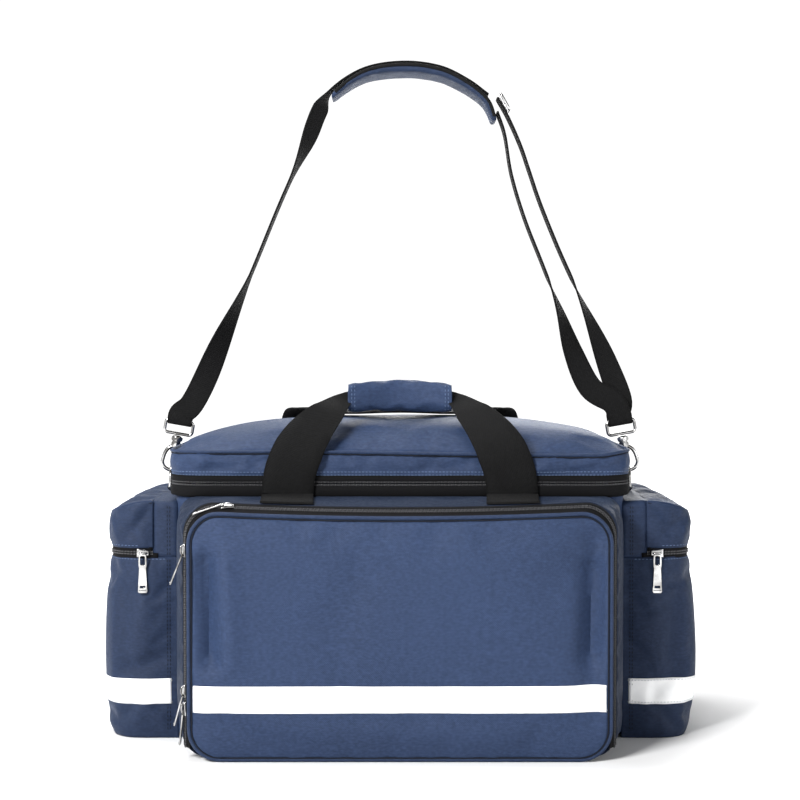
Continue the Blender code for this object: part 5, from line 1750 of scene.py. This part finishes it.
def make_hook(side, name):
    outer = 0.0112
    route = [(-HOOK_RADIUS, 0.0)]
    for turn in range(202, 360, 22):
        across = HOOK_RADIUS if turn < 270 else outer
        route.append((across * cos(radians(turn)), HOOK_RADIUS * sin(radians(turn))))
    route += [(outer, 0.001), (outer - 0.0010, 0.008), (0.0078, 0.0135), (0.0042, 0.0168), (0.0008, 0.0185)]
    path = smooth_path([hook_point(side, u, w) for u, w in route], 5)
    radii = [0.0014 + 0.0006 * min(i / 12, 1.0) for i in range(len(path))]
    wire(name + "_hook_shank", path, 0.002, name + "_hook", name + "_hook_body", sides=14, radii=radii)
    profile = [(0.0030, 0.0160), (0.0048, 0.0166), (0.0052, 0.0180), (0.0052, 0.0215), (0.0046, 0.0220),
               (0.0046, 0.0228), (0.0058, 0.0234), (0.0060, 0.0260), (0.0056, 0.0276), (0.0044, 0.0286),
               (0.0024, 0.0289)]
    barrel = turned(name + "_hook_barrel", profile, side, 0.0)
    dress(barrel, name + "_hook", "plated_metal")
    gate_route = ((-0.0072, 0.0026), (-0.0070, 0.0060), (-0.0070, 0.0090), (-0.0067, 0.0125),
                  (-0.0062, 0.0160))
    gate_path = smooth_path([hook_point(side, u, w) for u, w in gate_route], 5)
    wire(name + "_hook_lever", gate_path, 0.0014, name + "_gate", name + "_hook_gate", sides=12)
    knob = smooth_path([hook_point(side, -0.0082, 0.0098), hook_point(side, -0.0100, 0.0106),
                        hook_point(side, -0.0112, 0.0128)], 4)
    wire(name + "_lever_stud", knob, 0.0011, name + "_gate")


def make_ring(side, name):
    half = 0.0150
    bar_z = 0.2390
    points = [(half, 0.0), (half, 0.006)]
    points += [(half * cos(radians(a)), 0.009 + 0.013 * sin(radians(a))) for a in range(15, 166, 15)]
    points += [(-half, 0.006), (-half, 0.0)]
    path = resample([Vector((side * 0.2385, MID_Y + a, bar_z + b)) for a, b in points], 90, True)
    wire(name + "_dee", path, 0.002, name + "_ring", name + "_d_ring", closed=True, sides=14)
    tab = smooth_path([
        (side * 0.2220, MID_Y, bar_z - 0.0035), (side * 0.2320, MID_Y, bar_z - 0.0037),
        (side * 0.2385, MID_Y, bar_z - 0.0032), (side * 0.2416, MID_Y, bar_z),
        (side * 0.2385, MID_Y, bar_z + 0.0032), (side * 0.2320, MID_Y, bar_z + 0.0008),
        (side * 0.2270, MID_Y, bar_z - 0.0008),
    ], 5)
    facings = [along.cross(Vector((0, 1, 0))) for along in directions(tab)]
    item = ribbon(name + "_ring_loop", tab, facings, [0.0245] * len(tab), 0.0012, WEB_SLIM)
    dress(item, "bag", "black_webbing", name + "_ring_tab")


# ---- zip sliders and pullers --------------------------------------------------------------
def placed(place, along, outward):
    """Matrix whose x runs along the zip and z out of the cloth."""
    along = Vector(along).normalized()
    outward = Vector(outward)
    outward = (outward - along * outward.dot(along)).normalized()
    side = outward.cross(along)
    matrix = Matrix((along, side, outward)).transposed().to_4x4()
    matrix.translation = Vector(place)
    return matrix


def make_slider(name, place, along, outward, body, node):
    """Cast slider: a waisted wedge with a bridge that holds the puller."""
    outline = [(-0.0062, 0.0022), (-0.0035, 0.0029), (0.0, 0.0031), (0.0040, 0.0040), (0.0062, 0.0042)]
    outline += [(x, -y) for x, y in reversed(outline)]
    rings = []
    for z, scale in ((-0.0004, 0.94), (0.0002, 1.0), (0.0014, 1.0), (0.0021, 0.92), (0.0023, 0.80)):
        rings.append([(x * scale, y * scale, z) for x, y in outline])
    item = lofted(name + "_cast", rings, METAL, 35)
    modify(item, "BEVEL", width=0.0003, segments=2)
    bake(item)
    matrix = placed(place, along, outward)
    item.data.transform(matrix)
    dress(item, body, "plated_metal", node)
    arch = [(-0.0042, 0.0018), (-0.0040, 0.0034), (-0.0018, 0.0044), (0.0014, 0.0044), (0.0036, 0.0034),
            (0.0040, 0.0018)]
    bridge = smooth_path([matrix @ Vector((x, 0, z)) for x, z in arch], 5)
    wire(name + "_bridge", bridge, 0.0008, body)


def make_puller(name, place, hang, outward, length, body, node):
    """Pull tab: a shackle at the slider, a slim waist, a polished blade and a flared tip."""
    bm = bmesh.new()
    half_t = 0.0007
    outer = []
    for share, half in ((0.0, 0.0030), (0.04, 0.0038), (0.16, 0.0040), (0.30, 0.0040), (0.36, 0.0034),
                        (0.80, 0.0043), (0.90, 0.0045), (0.97, 0.0046), (1.0, 0.0036)):
        outer.append((share * length, half))
    slot_end = min(0.28 * length, 0.0105)
    inner = [(0.0016, 0.0014), (0.0026, 0.0023), (slot_end - 0.001, 0.0023), (slot_end, 0.0016)]
    outline = outer + [(x, -y) for x, y in reversed(outer)]
    hole = inner + [(x, -y) for x, y in reversed(inner)]
    slit = [(0.81 * length, 0.0026), (0.87 * length, 0.0028)]
    slit += [(x, -y) for x, y in reversed(slit)]
    rings = {}
    for key, points in (("", outline), ("hole ", hole), ("slit ", slit)):
        rings[key + "lo"] = [bm.verts.new((x, y, -half_t)) for x, y in points]
        rings[key + "hi"] = [bm.verts.new((x, y, half_t)) for x, y in points]
    for a, b in (("lo", "hi"), ("hole hi", "hole lo"), ("slit hi", "slit lo")):
        count = len(rings[a])
        for i in range(count):
            j = (i + 1) % count
            bm.faces.new((rings[a][i], rings[a][j], rings[b][j], rings[b][i]))
    for level in ("lo", "hi"):
        loops = []
        for key in (level, "hole " + level, "slit " + level):
            ring = rings[key]
            loops += [bm.edges.get((ring[i], ring[(i + 1) % len(ring)])) for i in range(len(ring))]
        bmesh.ops.triangle_fill(bm, edges=loops, use_beauty=True)
    bmesh.ops.recalc_face_normals(bm, faces=bm.faces[:])
    item = mesh_object(name + "_blade", bm, [METAL], 30)
    modify(item, "BEVEL", width=0.00025, segments=2, limit_method="ANGLE")
    bake(item)
    matrix = placed(place, hang, outward)
    item.data.transform(matrix)
    dress(item, body, "plated_metal", node)
    bead = [matrix @ Vector((length * 0.93, y, half_t)) for y in (-0.0038, -0.0018, 0.0, 0.0018, 0.0038)]
    wire(name + "_tip", bead, 0.0006, body)


def fit_slider(tag, place, along, outward):
    make_slider(tag, place, along, outward, tag + "_slider_body", tag + "_slider")


def fit_puller(tag, place, hang, outward, length):
    make_puller(tag, place, hang, outward, length, tag + "_puller_body", tag + "_puller")


def make_zip_hardware():
    down = Vector((0, 0, -1))
    front = Vector((0, -1, 0))
    edge_x = -0.1998
    for tag in ("front_lower", "front_upper", "front_corner"):
        lo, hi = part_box(tag + "_slider")
        fit_slider(tag, (edge_x, PANEL_ZIP_Y, (lo.z + hi.z) / 2), down, (-0.87, -0.48, 0))
        lo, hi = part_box(tag + "_puller")
        length = hi.z - lo.z
        swing = min(max((hi.x - lo.x - 0.001) / length, 0.10), 0.35)
        swing += 0.30 if tag == "front_corner" else 0.0
        hang = Vector((-swing, 0, -1)).normalized()
        fit_puller(tag, (hi.x - 0.0006, PANEL_ZIP_Y, hi.z), hang, (-1, 0, 0), length)
    lo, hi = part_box("front_top_slider")
    fit_slider("front_top", ((lo.x + hi.x) / 2, PANEL_ZIP_Y, 0.2362), (-1, 0, 0), (0, -0.55, 0.83))
    lo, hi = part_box("front_top_puller")
    fit_puller("front_top", (hi.x, PANEL_ZIP_Y, hi.z + 0.0012), (-1, 0, -0.34), (-0.3, 0, 1), hi.x - lo.x)
    for side, tag in ((-1, "left_pocket"), (1, "right_pocket")):
        lo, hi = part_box(tag + "_slider")
        fit_slider(tag, ((lo.x + hi.x) / 2, SIDE_LO.y - 0.0024, (lo.z + hi.z) / 2), (side, 0, 0), front)
        lo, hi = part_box(tag + "_puller")
        fit_puller(tag, ((lo.x + hi.x) / 2, (lo.y + hi.y) / 2, hi.z), down, front, hi.z - lo.z)
    lo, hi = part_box("lid_slider")
    fit_slider("lid", (lo.x + 0.0002, (lo.y + hi.y) / 2, ZIP_SPLIT), (0, -1, 0), (1, 0, 0))
    lo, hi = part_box("lid_puller")
    fit_puller("lid", ((lo.x + hi.x) / 2, (lo.y + hi.y) / 2, hi.z), down, (1, 0, 0), hi.z - lo.z)


# ---- inside -------------------------------------------------------------------------------
def make_inside():
    """The stiff base board's finish and both padded dividers with bound edges."""
    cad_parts["base_board"].data.materials.clear()
    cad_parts["base_board"].data.materials.append(board())
    for name in ("left_divider", "right_divider"):
        lo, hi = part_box(name)
        half_y = (hi.y - lo.y) / 2
        half_z = (hi.z - lo.z) / 2
        centre = (lo + hi) / 2
        rows = []
        for line in rounded_grid(half_y, half_z, 0.014, 0.009):
            rows.append([Vector((hi.x - 0.001, centre.y + a, centre.z + b)) for a, b in line])
        item = sheet(name + "_panel", rows, [LINING, LINING])
        face_out(item, lambda c: Vector((1, 0, 0)))
        thicken(item, hi.x - lo.x - 0.002)
        modify(item, "BEVEL", width=0.0022, segments=3, limit_method="ANGLE")
        bake(item)
        dress(item, "bag", "lining_fabric", name)
        outline = rounded(-half_y, half_y, -half_z, half_z, 0.014)
        ring = resample([(centre.x, centre.y + a, centre.z + b) for a, b in outline], 200, True)
        edge = tube(name + "_binding", ring, 0.0021, WEB_SLIM, closed=True, sides=8)
        dress(edge, "bag", "black_webbing")


# ---- assembly -----------------------------------------------------------------------------
def main():
    make_stage()
    body_tree = make_body()
    make_body_zip()
    make_lid()
    make_lid_hinge()
    gusset_tree = make_gusset()
    make_front_zip()
    make_front_panel()
    for side, name in ((-1, "left"), (1, "right")):
        make_side_pocket(side, name)
        make_side_cap(side, name)
        make_side_shoulder(side, name)
        make_side_zip(side, name)
    make_front_handle()
    make_handle_feet(gusset_tree)
    make_rear_handle()
    make_handle_anchors(body_tree)
    make_strap()
    make_pad()
    make_strap_metal()
    make_zip_hardware()
    make_inside()


main()
